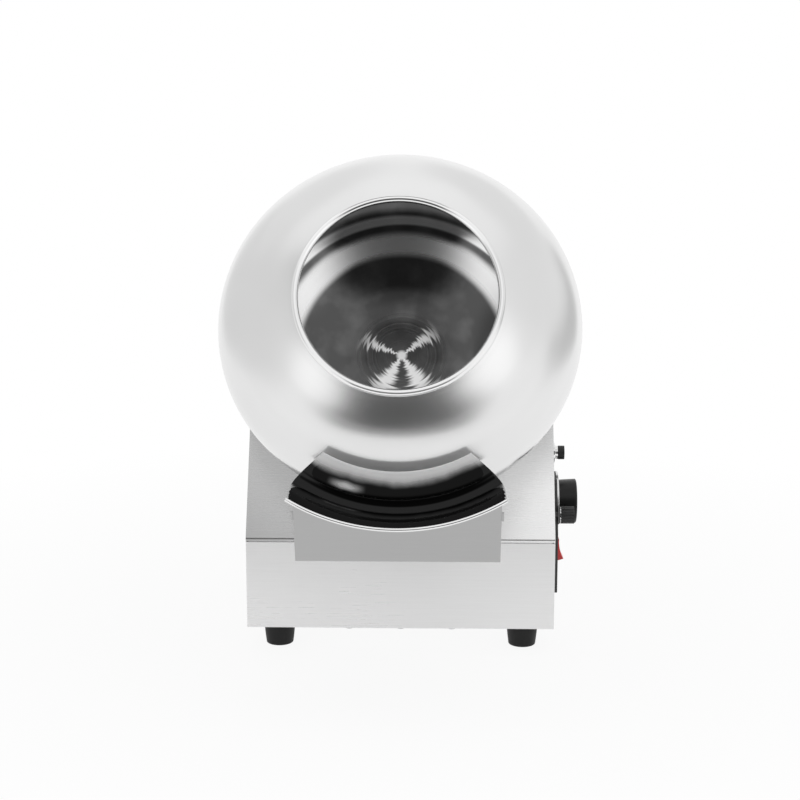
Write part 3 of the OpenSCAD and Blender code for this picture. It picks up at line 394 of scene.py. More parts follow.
# The sum of two noises lies mostly between these
TWO_NOISES = (0.7, 1.3)
# Moves a grain off the whole numbers, where its noise would show a seam
GRAIN_SHIFT = (0.37, 0.45, 0.29)


def grey(v, warm=0.0):
    return (v * (1 + warm), v, v * (1 - warm))


def toned(colour, share):
    return tuple(c * share for c in colour)


def axis_coords(f, frame_matrix):
    """Coordinates about a tilted axis: the place in its own frame, its parts, its radius and its rings."""
    back = frame_matrix.inverted()
    local = f.place(location=back.translation, rotation=(TILT - math.pi / 2, 0, 0))
    xyz = f.add("SeparateXYZ", {0: local}).outputs
    flat = f.add("CombineXYZ", {"X": xyz["X"], "Y": xyz["Y"]}).outputs[0]
    radius = f.add("VectorMath", {0: flat}, operation="LENGTH").outputs["Value"]
    rings = f.add("CombineXYZ", {"X": radius, "Y": xyz["Z"]}).outputs[0]
    return local, xyz, radius, rings


def lean_across(f, xyz):
    """The highlight's lean follows the rings round the drum axis."""
    around = f.add("CombineXYZ", {"X": f.times(xyz["Y"], -1.0), "Y": xyz["X"]}).outputs[0]
    turned_back = f.add("VectorRotate", {"Vector": around, "Angle": math.pi / 2 - TILT},
                        rotation_type="X_AXIS").outputs[0]
    world = f.add("VectorTransform", {0: turned_back}, vector_type="VECTOR",
                  convert_from="OBJECT", convert_to="WORLD").outputs[0]
    f.set("Tangent", f.add("VectorMath", {0: world}, operation="NORMALIZE").outputs[0])


def turned_steel(name, colour, rough, spread, lean, ring_pitch, groove):
    """Spun steel: fine rings about the drum axis, and a highlight drawn out across them."""
    f = Finish(name, colour, 1.0, rough)
    local, xyz, radius, rings = axis_coords(f, DRUM_FRAME)
    wander = f.noise(local, 9.0, 2.0)
    fine = f.noise(rings, 1.0 / ring_pitch, 4.0, 0.7)
    broad = f.noise(rings, 0.09 / ring_pitch, 2.0)
    f.set("Normal", f.bump(f.plus(fine, broad), groove, 0.0002))
    f.set("Roughness", f.vary(wander, broad, rough, spread))
    f.set("Base Color", f.tint(wander, toned(colour, 0.95), colour))
    f.set("Anisotropic", lean)
    lean_across(f, xyz)
    return f.material


# Painted reflections inside the pot: bright bands by radius, and how light the upper one is against the lower
PAINTED_REFLECTION_BAND = (0.114, 0.125, 0.136, 0.146)
PAINTED_REFLECTION_LINE = (0.149, 0.152, 0.157, 0.161)
LINE_LIGHT = 0.7
# The coarser turned patch in the middle, where it begins to end and where it has ended
MIDDLE_PATCH = (0.040, 0.080)
# The painted star highlight's heart, and its arms: degrees round the axis, half width in degrees, and reach
STAR_HEART = (0.003, 0.008)
STAR_ARMS = [(38, 14, 0.055), (158, 11, 0.056), (-119, 22, 0.062), (-57, 23, 0.062)]
ARM_FADE = 0.6
# How far the rings pull the arms' edges to and fro, in radians, and how fine they are
STAR_RAG = 0.24
STAR_RAG_SCALE = 380.0
STAR_ROUGH = 0.34


def star_share(f, xyz, radius, rings):
    """How far a place lies on the painted star highlight, whose arms are ragged from ring to ring."""
    star = f.less(1.0, f.rise(radius, *STAR_HEART))
    ragged = f.spread(f.noise(rings, STAR_RAG_SCALE, 3.0), -STAR_RAG, STAR_RAG)
    bearing = f.plus(f.maths("ARCTAN2", xyz["Y"], xyz["X"]), ragged)
    for at, half, reach in STAR_ARMS:
        off = f.maths("WRAP", f.maths("SUBTRACT", bearing, math.radians(at)), math.pi, -math.pi)
        near = f.rise(f.maths("ABSOLUTE", off), math.radians(half), math.radians(half / 4))
        arm = f.times(near, f.less(1.0, f.rise(radius, ARM_FADE * reach, reach)))
        star = f.maths("MAXIMUM", star, arm)
    return star


def bowl_steel(name, light, dark, rough, middle_rough):
    """The pot's polished inside: mirror rings, and a coarser turned patch in the middle. Its colour carries
    painted light: bright bands of painted reflection, a painted star highlight, and painted shade elsewhere.
    """
    f = Finish(name, light, 1.0, rough)
    local, xyz, radius, rings = axis_coords(f, DRUM_FRAME)
    cloud = f.noise(local, 30.0, 3.0)
    fine = f.noise(rings, 420.0, 3.0, 0.7)
    # Painted reflections: a bright band and a thinner bright line, set by radius
    bright_ring = f.band(radius, PAINTED_REFLECTION_BAND)
    painted_reflections = f.plus(bright_ring, f.times(f.band(radius, PAINTED_REFLECTION_LINE), LINE_LIGHT), clamp=True)
    # Painted highlight: the star's heart and arms are light in the colour
    star = star_share(f, xyz, radius, rings)
    # Painted shade: the dark colour, a little mottled, fills the inside between the painted bright bands and
    # star
    shade = f.tint(cloud, toned(dark, 0.85), toned(dark, 1.3), 0.42, 0.66)
    f.set("Base Color", f.mix_colours(f.plus(painted_reflections, star, clamp=True), shade, (*light, 1.0)))
    middle = f.less(1.0, f.rise(radius, *MIDDLE_PATCH))
    clear = f.mix(bright_ring, f.spread(cloud, rough - 0.02, rough + 0.03), middle_rough)
    coarse = f.spread(fine, middle_rough - 0.08, middle_rough + 0.08)
    f.set("Roughness", f.mix(star, f.mix(middle, clear, coarse), STAR_ROUGH))
    f.set("Normal", f.bump(fine, 0.06, 0.0002))
    f.set("Anisotropic", f.times(f.less(middle, star), 0.9))
    lean_across(f, xyz)
    return f.material


# The trough by radius: its back wall goes from a painted light band to painted shade, and its crease from the
# painted shade to plain steel
TROUGH_WALL = (0.156, 0.167)
TROUGH_SHELF = (0.192, 0.197)
TROUGH_WAVER = 0.0012
DULL_ROUGH = 0.4
# A painted highlight, a soft light spot left of the middle: radians round the trough and radius
GLINT_AT = (-0.315, 0.1715)
GLINT_REACH = (0.13, 0.0055)


def trough_steel(name, light, dark, steel, rough):
    """The chute's mirror finish with painted light: painted shade in the trough, a painted light band along
    its back edge, and a painted highlight left of the middle.
    """
    f = Finish(name, light, 1.0, rough)
    local, xyz, radius, _ = axis_coords(f, CHUTE_FRAME)
    cloud = f.noise(local, 26.0, 3.0)
    wobble = f.plus(f.spread(cloud, -TROUGH_WAVER, TROUGH_WAVER), radius)
    mirror = f.rise(wobble, *TROUGH_WALL)
    shelf = f.rise(wobble, *TROUGH_SHELF)
    bearing = f.maths("ARCTAN2", xyz["X"], f.times(xyz["Y"], -1.0))
    near = []
    for value, middle, reach in zip((bearing, wobble), GLINT_AT, GLINT_REACH):
        off = f.maths("ABSOLUTE", f.maths("SUBTRACT", value, middle))
        near.append(f.rise(off, reach, 0.0))
    # Painted highlight: a soft light spot where the bearing and the radius both lie near GLINT_AT
    painted_glint = f.times(*near)
    # Painted light and shade: the wall is light at its back edge and dark down in the trough, with the
    # painted highlight on it
    wall = f.mix_colours(painted_glint, f.tint(mirror, light, dark, 0.0, 1.0), (*light, 1.0))
    mirror = f.less(mirror, painted_glint)
    f.set("Base Color", f.mix_colours(shelf, wall, (*steel, 1.0)))
    f.set("Metallic", mirror)
    f.set("Roughness", f.mix(mirror, DULL_ROUGH, f.spread(cloud, rough, rough + 0.03)))
    f.set("Normal", f.bump(cloud, 0.05, 0.0006))
    return f.material


# How far up the slope its painted shade changes
SHADE_REACH = 0.1


def slope_tone(f, shade_tones):
    """The slope's painted shade: how light it is, from its left side to its right and from the fold upwards.
    """
    left_low, left_high, right_low, right_high = shade_tones
    at = f.add("SeparateXYZ", {0: f.place()}).outputs
    left = f.spread(at["Z"], left_low, left_high, FOLD_Z, FOLD_Z + SHADE_REACH)
    right = f.spread(at["Z"], right_low, right_high, FOLD_Z + SHADE_REACH / 2, FOLD_Z + SHADE_REACH)
    return f.spread(at["X"], left, right, -HALF_W, HALF_W)


def brushed_sheet(name, colour, rough, grain, spread=0.04, depth=0.35, shade_tones=None, metal=1.0):
    """Sheet steel with a fine grain; grain is how much the pattern is drawn out along X, Y and Z.

    shade_tones are the painted shade: how light the left side is at the fold and further up, and the same for
    the right side."""
    f = Finish(name, colour, metal, rough)
    lines = f.noise(f.place(scale=grain, location=GRAIN_SHIFT), 1.0, 3.0, 0.65)
    cloud = f.noise(f.place(), 7.0, 3.0)
    if shade_tones:
        # Painted shade: the colour is darkest on the left near the fold, and the right side darkens further
        # up
        shade = f.times(f.spread(lines, 0.95, 1.0), slope_tone(f, shade_tones))
        f.set("Base Color", f.tint(shade, grey(0.0), colour, 0.0, 1.0))
    else:
        f.set("Base Color", f.tint(lines, toned(colour, 0.96), colour))
    f.set("Roughness", f.vary(lines, cloud, rough, spread))
    f.set("Normal", f.bump(lines, depth, 0.00006))
    return f.material


def polished(name, colour, rough, smear=60.0, spread=0.03):
    f = Finish(name, colour, 1.0, rough)
    cloud = f.noise(f.place(), smear, 3.0)
    wide = f.noise(f.place(), 8.0, 2.0)
    f.set("Roughness", f.spread(cloud, rough, rough + spread))
    f.set("Base Color", f.tint(wide, toned(colour, 0.94), colour))
    f.set("Normal", f.bump(cloud, 0.06, 0.0004))
    return f.material


def machined(name, colour, rough, scale=500.0):
    f = Finish(name, colour, 1.0, rough)
    marks = f.noise(f.place(scale=(1, 1, 6)), scale, 3.0, 0.7)
    cloud = f.noise(f.place(), 40.0, 2.0)
    f.set("Roughness", f.spread(cloud, rough - 0.06, rough + 0.08))
    f.set("Base Color", f.tint(marks, toned(colour, 0.86), colour))
    f.set("Normal", f.bump(marks, 0.2, 0.0001))
    return f.material


def moulded(name, colour, rough, grain=1400.0, depth=0.25, dust=0.06):
    """Moulded plastic or rubber with a fine leather-like skin and a little dust."""
    f = Finish(name, colour, 0.0, rough)
    skin = f.noise(f.place(), grain, 2.0, 0.6)
    cloud = f.noise(f.place(), 30.0, 4.0, 0.6)
    dusty = tuple(min(1, c + dust / 4) for c in colour)
    f.set("Base Color", f.tint(cloud, colour, dusty, 0.35, 0.75))
    f.set("Roughness", f.spread(cloud, rough - 0.05, rough + 0.1))
    f.set("Normal", f.bump(skin, depth, 0.00008))
    f.set("Specular IOR Level", 0.3)
    return f.material


def glossy_plastic(name, colour, rough=0.18):
    f = Finish(name, colour, 0.0, rough)
    cloud = f.noise(f.place(), 90.0, 3.0)
    f.set("Base Color", f.tint(cloud, toned(colour, 0.9), colour))
    f.set("Roughness", f.spread(cloud, rough, rough + 0.07))
    f.set("Normal", f.bump(cloud, 0.05, 0.0003))
    f.set("Coat Weight", 0.3)
    f.set("Coat Roughness", 0.06)
    return f.material


def clear_glass(name, colour, rough):
    f = Finish(name, colour, 0.0, rough)
    f.set("Transmission Weight", 0.9)
    f.set("Normal", f.bump(f.noise(f.place(), 300.0), 0.03, 0.0002))
    return f.material


# How far the pattern of a rolled sheet is drawn out: its grain runs along one direction
ALONG, ACROSS = 14, 900
GRAIN_X = (ALONG, ACROSS, ACROSS)
GRAIN_Y = (ACROSS, ALONG, ACROSS)
GRAIN_Z = (ACROSS, ACROSS, ALONG)
pot_outside = turned_steel("spun_pot_outside", grey(0.83), 0.24, 0.03, 0.55, 0.0011, 0.10)
# The pot's inside: its light grey carries the painted reflections and star highlight, its dark grey is
# painted shade
pot_inside = bowl_steel("polished_pot_inside", grey(0.94), grey(0.10), 0.11, 0.30)
bead_steel = polished("polished_bead", grey(0.88), 0.07)
chute_steel = polished("polished_chute", grey(0.72), 0.08, 45.0, 0.03)
# The back of the chute's wall is painted light and dull, standing in for the bright ceiling its polished
# steel would mirror, so the pot's underside shows it light
wall_back = brushed_sheet("chute_wall_back", grey(0.93), 0.5, (60, 60, 60), metal=0.1)
# The trough's near-white is a painted light band and its near-black is painted shade
trough = trough_steel("polished_trough", grey(0.98), grey(0.02), grey(0.45), 0.05)
front_steel = brushed_sheet("front_sheet", grey(0.98), 0.30, GRAIN_X, depth=0.04, metal=0.5)
# The slope's shade_tones are painted shade
slope_steel = brushed_sheet("slope_sheet", grey(0.95), 0.28, GRAIN_X, depth=0.12,
                            shade_tones=(0.50, 0.63, 1.0, 0.80))
side_steel = brushed_sheet("side_sheet", grey(0.80), 0.30, GRAIN_Z)
bracket_steel = brushed_sheet("bracket_sheet", grey(0.46), 0.32, GRAIN_X)
pan_steel = brushed_sheet("pan_sheet", grey(0.72), 0.36, GRAIN_Y)
screw_steel = machined("screw_steel", grey(0.66), 0.28)
shaft_steel = machined("shaft_steel", grey(0.62), 0.25)
gear_steel = machined("gear_steel", grey(0.42, 0.02), 0.38)
bronze = machined("bushing_bronze", (0.62, 0.40, 0.20), 0.34)
copper = machined("commutator_copper", (0.72, 0.36, 0.20), 0.3)
cast_alloy = machined("cast_alloy", grey(0.55), 0.46, 220.0)
dial_alloy = brushed_sheet("dial_alloy", grey(0.80), 0.30, (40, ACROSS, ACROSS))
black_oxide = machined("black_oxide", grey(0.05), 0.42)
ferrite = machined("ferrite", grey(0.09), 0.55)
motor_paint = moulded("motor_paint", (0.05, 0.055, 0.06), 0.35, 600.0, 0.12)
foot_rubber = moulded("foot_rubber", grey(0.010), 0.55, 900.0, 0.3, 0.02)
knob_plastic = moulded("knob_plastic", grey(0.010), 0.34, 1600.0, 0.12, 0.03)
trim_plastic = moulded("trim_plastic", grey(0.035), 0.36, 1600.0, 0.12, 0.04)
plate_plastic = moulded("plate_plastic", grey(0.05), 0.5, 1300.0, 0.2, 0.04)
black_plastic = moulded("black_plastic", grey(0.02), 0.42, 1500.0, 0.15, 0.03)
rocker_red = glossy_plastic("rocker_red", (0.80, 0.012, 0.010))
mark_white = moulded("mark_white", grey(0.85), 0.45, 1500.0, 0.05, 0.0)
board_green = glossy_plastic("board_green", (0.02, 0.16, 0.06), 0.3)
part_grey = moulded("part_grey", grey(0.16), 0.45)
wire_brown = glossy_plastic("wire_brown", (0.22, 0.08, 0.03), 0.35)
fuse_glass = clear_glass("fuse_glass", (0.9, 0.95, 0.95), 0.03)


# The drum
SEAT_RINGS = 10
# The pot is rounded off by hand this far out round its seat
SEAT_BLEND = 1.6


def make_pot():
    """The pot starts as a sphere, drawn in front and behind, cut at the mouth and the back seat."""
    near = 1e-5
    bpy.ops.mesh.primitive_uv_sphere_add(segments=192, ring_count=112, radius=POT_R)
    pot = named("pot")
    edit_mode(pot)
    pick(pot, "VERT", lambda p: p.z > near)
    bpy.ops.transform.resize(value=(1, 1, FRONT_B / POT_R), center_override=(0, 0, 0))
    pick(pot, "VERT", lambda p: p.z < -near)
    bpy.ops.transform.resize(value=(1, 1, BACK_B / POT_R), center_override=(0, 0, 0))
    everything()
    bpy.ops.mesh.bisect(plane_co=(0, 0, MOUTH_Z), plane_no=(0, 0, 1), clear_outer=True)
    everything()
    bpy.ops.mesh.bisect(plane_co=(0, 0, SEAT_Z), plane_no=(0, 0, -1), clear_outer=True, use_fill=True)
    # rings across the flat seat, down to a small disc in the middle
    pick(pot, "FACE", lambda c, n: c.z < SEAT_Z + near and n.z < -0.99)
    for _ in range(SEAT_RINGS):
        bpy.ops.mesh.inset(thickness=SEAT_R / (SEAT_RINGS + 0.5))
    pick(pot, "VERT", lambda p: p.z < 0 and math.hypot(p.x, p.y) < SEAT_BLEND * SEAT_R)
    bpy.ops.mesh.vertices_smooth(factor=0.5, repeat=24)
    object_mode()
    outwards(pot)
    thicken(pot, POT_WALL)
    dress(pot, pot_outside, pot_inside)

    def side(face):
        c = face.center
        depth = FRONT_B if c.z > 0 else BACK_B
        out = Vector((c.x / POT_R ** 2, c.y / POT_R ** 2, c.z / depth ** 2))
        return 0 if face.normal.dot(out) > 0 else 1
    shade_slots(pot, side)
    smooth(pot, 40)
    settle(pot, DRUM_FRAME)
    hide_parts("drum_shell")
    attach(pot, "drum")


def make_bead():
    """The rolled edge: a round bead with the fine lines where the roll closes on the pot."""
    groove_r = BEAD_R - 0.00035
    outline = arc(MOUTH_R, MOUTH_Z, BEAD_R, -90, 60, 14)
    outline += arc(MOUTH_R, MOUTH_Z, groove_r, 64, 68, 1)
    outline += arc(MOUTH_R, MOUTH_Z, BEAD_R, 72, 150, 8)
    outline += arc(MOUTH_R, MOUTH_Z, groove_r, 154, 158, 1)
    outline += arc(MOUTH_R, MOUTH_Z, BEAD_R, 162, 270, 10)
    bead = turned("mouth_roll", outline, 192)
    dress(bead, bead_steel)
    smooth(bead, 30)
    settle(bead, DRUM_FRAME)
    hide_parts("mouth_bead")
    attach(bead, "drum")


# The chute: its back edge, crease and lip, each by radius, height and half angle in degrees
CHUTE_POINTS = [(0.1526, 0.065, 30.3), (0.189, 0.031, 36.0), (0.2177, 0.084, 31.0)]
CHUTE_T = 0.0015
CHUTE_SPIN = 40.0
CREASE_ROUND = 0.026
ROLL_R = 0.0020
ROLL_BORE = 0.6 * ROLL_R
ROLL_GAP = 0.0001


def chute_profile():
    """Radius and place along the chute from its back edge to its lip."""
    edge, crease, lip = (Vector(p[:2]) for p in CHUTE_POINTS)
    lip = lip.lerp(crease, (ROLL_R + ROLL_GAP) / (lip - crease).length)
    back = crease.lerp(edge, CREASE_ROUND / (edge - crease).length)
    front = crease.lerp(lip, CREASE_ROUND / (lip - crease).length)
    line = [edge.lerp(back, t / 8) for t in range(8)]
    line += [back.lerp(crease, t / 10).lerp(crease.lerp(front, t / 10), t / 10) for t in range(11)]
    line += [front.lerp(lip, t / 8) for t in range(1, 9)]
    return line


def chute_side(face):
    """The finish of a face, in the chute's own frame: the trough, its wall's back, or the plain underside."""
    c = face.center
    edge, crease, lip = CHUTE_POINTS
    r = math.hypot(c.x, c.y)
    inward = (edge[0] + lip[0]) / 2 - r
    out = Vector((c.x / r * inward, c.y / r * inward, (edge[1] + lip[1]) / 2 - c.z))
    if face.normal.dot(out) > 0:
        return 1
    return 2 if r < crease[0] else 0


def make_chute():
    """The profile is turned about the chute's axis, and each side is trimmed along a plane."""
    pan = turned_part("chute", chute_profile(), 90, 2 * CHUTE_SPIN)
    edit_mode(pan)
    for s in (-1, 1):
        corners = []
        for r, z, half in CHUTE_POINTS:
            a = math.radians(half)
            corners.append(Vector((s * r * math.sin(a), -r * math.cos(a), z)))
        back, crease, lip = corners
        across = (crease - back).cross(lip - back).normalized()
        if across.x * s < 0:
            across.negate()
        everything()
        bpy.ops.mesh.bisect(plane_co=crease, plane_no=across, clear_outer=True)
    object_mode()
    outwards(pan)
    # the trough's own side must face up before the sheet gets its thickness
    middle = min(pan.data.polygons, key=lambda f: abs(f.center.x) + abs(f.center.z - 0.06))
    facing(pan, middle, (0, 0.5, 1))
    thicken(pan, CHUTE_T)
    soften(pan, 0.0003, 2, 60)
    dress(pan, chute_steel, trough, wall_back)
    shade_slots(pan, chute_side)
    smooth(pan, 35)
    settle(pan, CHUTE_FRAME)
    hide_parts("chute_pan")
    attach(pan, "chassis")


def make_chute_roll():
    """The rolled lip, an open tube turned part of the way round the chute's axis."""
    r, z, half = CHUTE_POINTS[2]
    rings = []
    for name, tube_r in (("roll_outer", ROLL_R), ("roll_inner", ROLL_BORE)):
        rings.append(turned_part(name, arc(r, z, tube_r, 0, 360, 28), 72, 2 * half))
    roll = join(rings, "chute_roll")
    edit_mode(roll)
    everything()
    bpy.ops.mesh.remove_doubles(threshold=WELD)
    for s in (-1, 1):
        a = math.radians(-90 + s * half)
        across = Vector((-math.sin(a), math.cos(a), 0))
        pick(roll, "EDGE", lambda p, q: all(abs(end.dot(across)) < 1e-5 and end.x * s > 0 for end in (p, q)))
        bpy.ops.mesh.bridge_edge_loops()
    everything()
    bpy.ops.mesh.normals_make_consistent(inside=False)
    object_mode()
    dress(roll, bead_steel)
    smooth(roll, 35)
    settle(roll, CHUTE_FRAME)
    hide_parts("chute_bead")
    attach(roll, "chassis")


# The base
def rounded_line(points, radius, steps=6):
    """A line of points whose inner corners are rounded with the given radius."""
    points = [Vector(p) for p in points]
    line = [points[0]]
    for before, corner, after in zip(points, points[1:], points[2:]):
        a = (before - corner).normalized()
        b = (after - corner).normalized()
        half = a.angle(b) / 2
        run = radius / math.tan(half)
        centre = corner + (a + b).normalized() * radius / math.sin(half)
        start = (corner + a * run - centre).normalized()
        end = (corner + b * run - centre).normalized()
        line += [centre + radius * start.slerp(end, i / steps) for i in range(steps + 1)]
    return line + [points[-1]]


def bent_sheet(name, line, half_width, thickness, side):
    """Sheet steel bent along a line of (y, z) points; its thickness lies on the given side of the line."""
    piece = line_piece(name, [(-half_width, y, z) for y, z in line])
    edit_mode(piece)
    everything()
    bpy.ops.mesh.extrude_region_move(TRANSFORM_OT_translate={"value": (2 * half_width, 0, 0)})
    object_mode()
    outwards(piece)
    facing(piece, piece.data.polygons[0], (0, -side[0], -side[1]))
    thicken(piece, thickness, even=True)
    soften(piece, 0.00025, 2, 60)
    smooth(piece, 35)
    return piece


SLOPE_TOP_Y = -HALF_D + (TOP_Z - FOLD_Z) * math.tan(TILT)
SEAM = 0.001
FOLD_LIP = 0.003
FOLD_R = 0.0045
STRIP_H = 0.010
BEND_R = 0.003


def make_front_panel():
    """The upright front with the strip that backs the seam under the cover's lip."""
    top = FOLD_Z - FOLD_LIP - SEAM
    face = block("front_sheet", (-HALF_W, -HALF_D, FOOT_H), (HALF_W, -HALF_D + SHEET, top))
    soften(face, 0.0005, 3)
    inset = 2 * SHEET
    strip = block("seam_strip", (-HALF_W + inset, -HALF_D + SHEET, top - STRIP_H + SEAM),
                  (HALF_W - inset, -HALF_D + 2 * SHEET, top + SEAM))
    soften(strip, 0.0002, 1)
    panel = join([face, strip], "front_face")
    dress(panel, front_steel)
    smooth(panel, 35)
    keep_flat(panel)
    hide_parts("front_panel")
    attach(panel, "chassis")


def make_sloped_cover():
    """The lip, the slope and the top, bent from one sheet."""
    lip, fold = (-HALF_D, FOLD_Z - FOLD_LIP), (-HALF_D, FOLD_Z)
    crest, back = (SLOPE_TOP_Y, TOP_Z), (HALF_D, TOP_Z)
    line = rounded_line([lip, fold, crest], FOLD_R, 6)[:-1]
    line += rounded_line([line[-1], crest, back], BEND_R, 8)[1:]
    cover = bent_sheet("slope_and_top", line, HALF_W, SHEET, (1, -1))
    keep_flat(cover)
    dress(cover, slope_steel)
    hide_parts("sloped_cover")
    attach(cover, "chassis")


BRACKET_HALF = 0.10899
BRACKET_T = 0.002
SHELF_Z = 0.140
SHELF_Y = -HALF_D + (SHELF_Z - FOLD_Z) * math.tan(TILT)
UPSTAND_Y = -0.2785
UPSTAND_H = 0.082
LEAN = math.radians(21.5)
FLANGE_H = 0.030
EAR_W = 0.0025
EAR_UP = 0.054
EAR_H = 0.011
CHUTE_CLEAR = 0.0003


def chute_room():
    """The room of the chute and all above it, for cutting the top edge of the bracket."""
    reach = 0.06
    profile = chute_profile()
    under = []
    for i, p in enumerate(profile):
        run = (profile[min(i + 1, len(profile) - 1)] - profile[max(i - 1, 0)]).normalized()
        under.append(p + (CHUTE_T + CHUTE_CLEAR) * Vector((run.y, -run.x)))
    first, last = under[0], under[-1]
    outline = [(0, first.y - reach), (first.x, first.y - reach)] + [tuple(p) for p in under]
    outline += [(last.x, last.y + reach), (0, last.y + reach)]
    return settle(turned("chute_room", outline, 160), CHUTE_FRAME)


def make_bracket():
    """A flange on the slope, a shelf and a leaning upstand whose top edge follows the chute's underside."""
    flange = Vector((SHELF_Y, SHELF_Z)) + FLANGE_H * Vector((math.sin(TILT), math.cos(TILT)))
    top = Vector((UPSTAND_Y, SHELF_Z)) + UPSTAND_H * Vector((-math.sin(LEAN), math.cos(LEAN)))
    line = rounded_line([flange, (SHELF_Y, SHELF_Z), (UPSTAND_Y, SHELF_Z), top], BEND_R, 6)
    plate = bent_sheet("bracket_sheet", line, BRACKET_HALF, BRACKET_T, (0, 1))
    cut_away(plate, chute_room())
    ears = []
    for s in (-1, 1):
        x0, x1 = sorted((s * BRACKET_HALF, s * (BRACKET_HALF + EAR_W)))
        ear = block("ear", (x0, 0, EAR_UP), (x1, BRACKET_T, EAR_UP + EAR_H))
        soften(ear, 0.0004, 2)
        place = Matrix.Translation((0, UPSTAND_Y, SHELF_Z)) @ Matrix.Rotation(LEAN, 4, "X")
        ears.append(settle(ear, place))
    bracket = join([plate] + ears, "chute_support")
    dress(bracket, bracket_steel)
    smooth(bracket, 35)
    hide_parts("chute_bracket")
    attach(bracket, "chassis")


FOOT_TOP_R = 0.0185
FOOT_BOTTOM_R = 0.0157
FOOT_BORE = 0.003
FOOT_POCKET_R = 0.0072
FOOT_POCKET_H = 0.014
FOOT_ROUND = 0.0018
FOOT_X = 0.141
FOOT_Y = 0.132


def make_feet():
    """A tapered rubber foot with its screw's bore and pocket, and three copies."""
    edge = 0.0005
    outline = [(FOOT_BORE, FOOT_H), (FOOT_BORE, FOOT_POCKET_H), (FOOT_POCKET_R, FOOT_POCKET_H),
               (FOOT_POCKET_R, edge), (FOOT_POCKET_R + edge, 0), (FOOT_BOTTOM_R - FOOT_ROUND, 0)]
    outline += arc(FOOT_BOTTOM_R - FOOT_ROUND, FOOT_ROUND, FOOT_ROUND, -72, 0, 5)
    outline += [(FOOT_BOTTOM_R + 0.0009, 0.009), (FOOT_TOP_R - edge, FOOT_H - 0.004),
                (FOOT_TOP_R, FOOT_H - 0.0035), (FOOT_TOP_R, FOOT_H - 0.0004),
                (FOOT_TOP_R - 0.0004, FOOT_H), (FOOT_BORE, FOOT_H)]
    foot = turned("foot", outline, 64)
    smooth(foot, 30)
    places = [Matrix.Translation((x, y, 0)) for x in (-FOOT_X, FOOT_X) for y in (-FOOT_Y, FOOT_Y)]
    feet = copies(foot, places, "feet")
    dress(feet, foot_rubber)
    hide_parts("rubber_feet")
    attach(feet, "chassis")


# The controls on the right side
PLATE_X = 0.180
CONTROL_Y = -0.088
KNOB_Z = 0.160
SWITCH_Z = 0.102
FUSE_Z = 0.218
DIAL_R = 0.035
DIAL_T = 0.0026
DIAL_BORE = 0.006
KNOB_R = 0.026
KNOB_L = 0.021
KNOB_GAP = 0.0006
KNOB_X = PLATE_X + DIAL_T + KNOB_GAP
TRIM_X = 0.182
TRIM_Y = -0.1342
TRIM_Z = 0.155
TRIM_R = 0.010
TRIM_L = 0.0165


def to_the_right(x, y, z):
    """Turns a piece drawn about +Z so that it points to +X from a place on the side."""
    return Matrix.Translation((x, y, z)) @ Matrix.Rotation(math.pi / 2, 4, "Y")


def turned_to_the_right(name, points, place, steps=96):
    piece = turned(name, points, steps)
    smooth(piece, 35)
    return settle(piece, to_the_right(*place))


def round_the_knob(angle):
    """A place drawn on the +Z side of the speed knob's axis, turned clockwise by an angle."""
    return Matrix.Translation((0, CONTROL_Y, KNOB_Z)) @ Matrix.Rotation(-angle, 4, "X")


def make_control_plate():
    """A black plate whose upper front corner follows the slope of the base."""
    low, corner, high = 0.066, 0.136, 0.192
    front, back = -0.147, -0.050
    slope_end = front + (high - corner) * math.tan(TILT)
    outline = [(front, low), (back, low), (back, high), (slope_end, high), (front, corner)]
    plate = slab("side_plate", [(HALF_W, y, z) for y, z in outline], (PLATE_X - HALF_W, 0, 0))
    soften(plate, 0.0007, 3)
    dress(plate, plate_plastic)
    smooth(plate, 35)
    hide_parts("control_plate")
    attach(plate, "chassis")


DIAL_STEPS = 10
DIAL_START = math.radians(-150)
DIAL_SWEEP = math.radians(300)
# Length and width of the scale's long and short marks, and where they start
LONG_MARK = (0.0030, 0.0006)
SHORT_MARK = (0.0018, 0.0004)
MARK_R = 0.0272
MARK_UP = 0.00004
MARK_SUNK = 0.0003
NUMBER_R = 0.0323
NUMBER_SIZE = 0.0042
NUMBER_T = 0.00017


def dial_angle(share):
    return DIAL_START + DIAL_SWEEP * share


def dial_number(value, face):
    """A number of the scale, standing upright on the dial's face."""
    bpy.ops.object.text_add()
    number = bpy.context.object
    number.data.body = str(value)
    number.data.size = NUMBER_SIZE
    number.data.align_x = "CENTER"
    number.data.align_y = "CENTER"
    number.data.extrude = NUMBER_T
    only(number)
    bpy.ops.object.convert(target="MESH")
    a = dial_angle(value / DIAL_STEPS)
    at = Matrix.Translation((face + MARK_UP - NUMBER_T, CONTROL_Y + NUMBER_R * math.sin(a),
                             KNOB_Z + NUMBER_R * math.cos(a)))
    stand = Matrix.Rotation(math.pi / 2, 4, "Z") @ Matrix.Rotation(math.pi / 2, 4, "X")
    return settle(number, at @ stand)


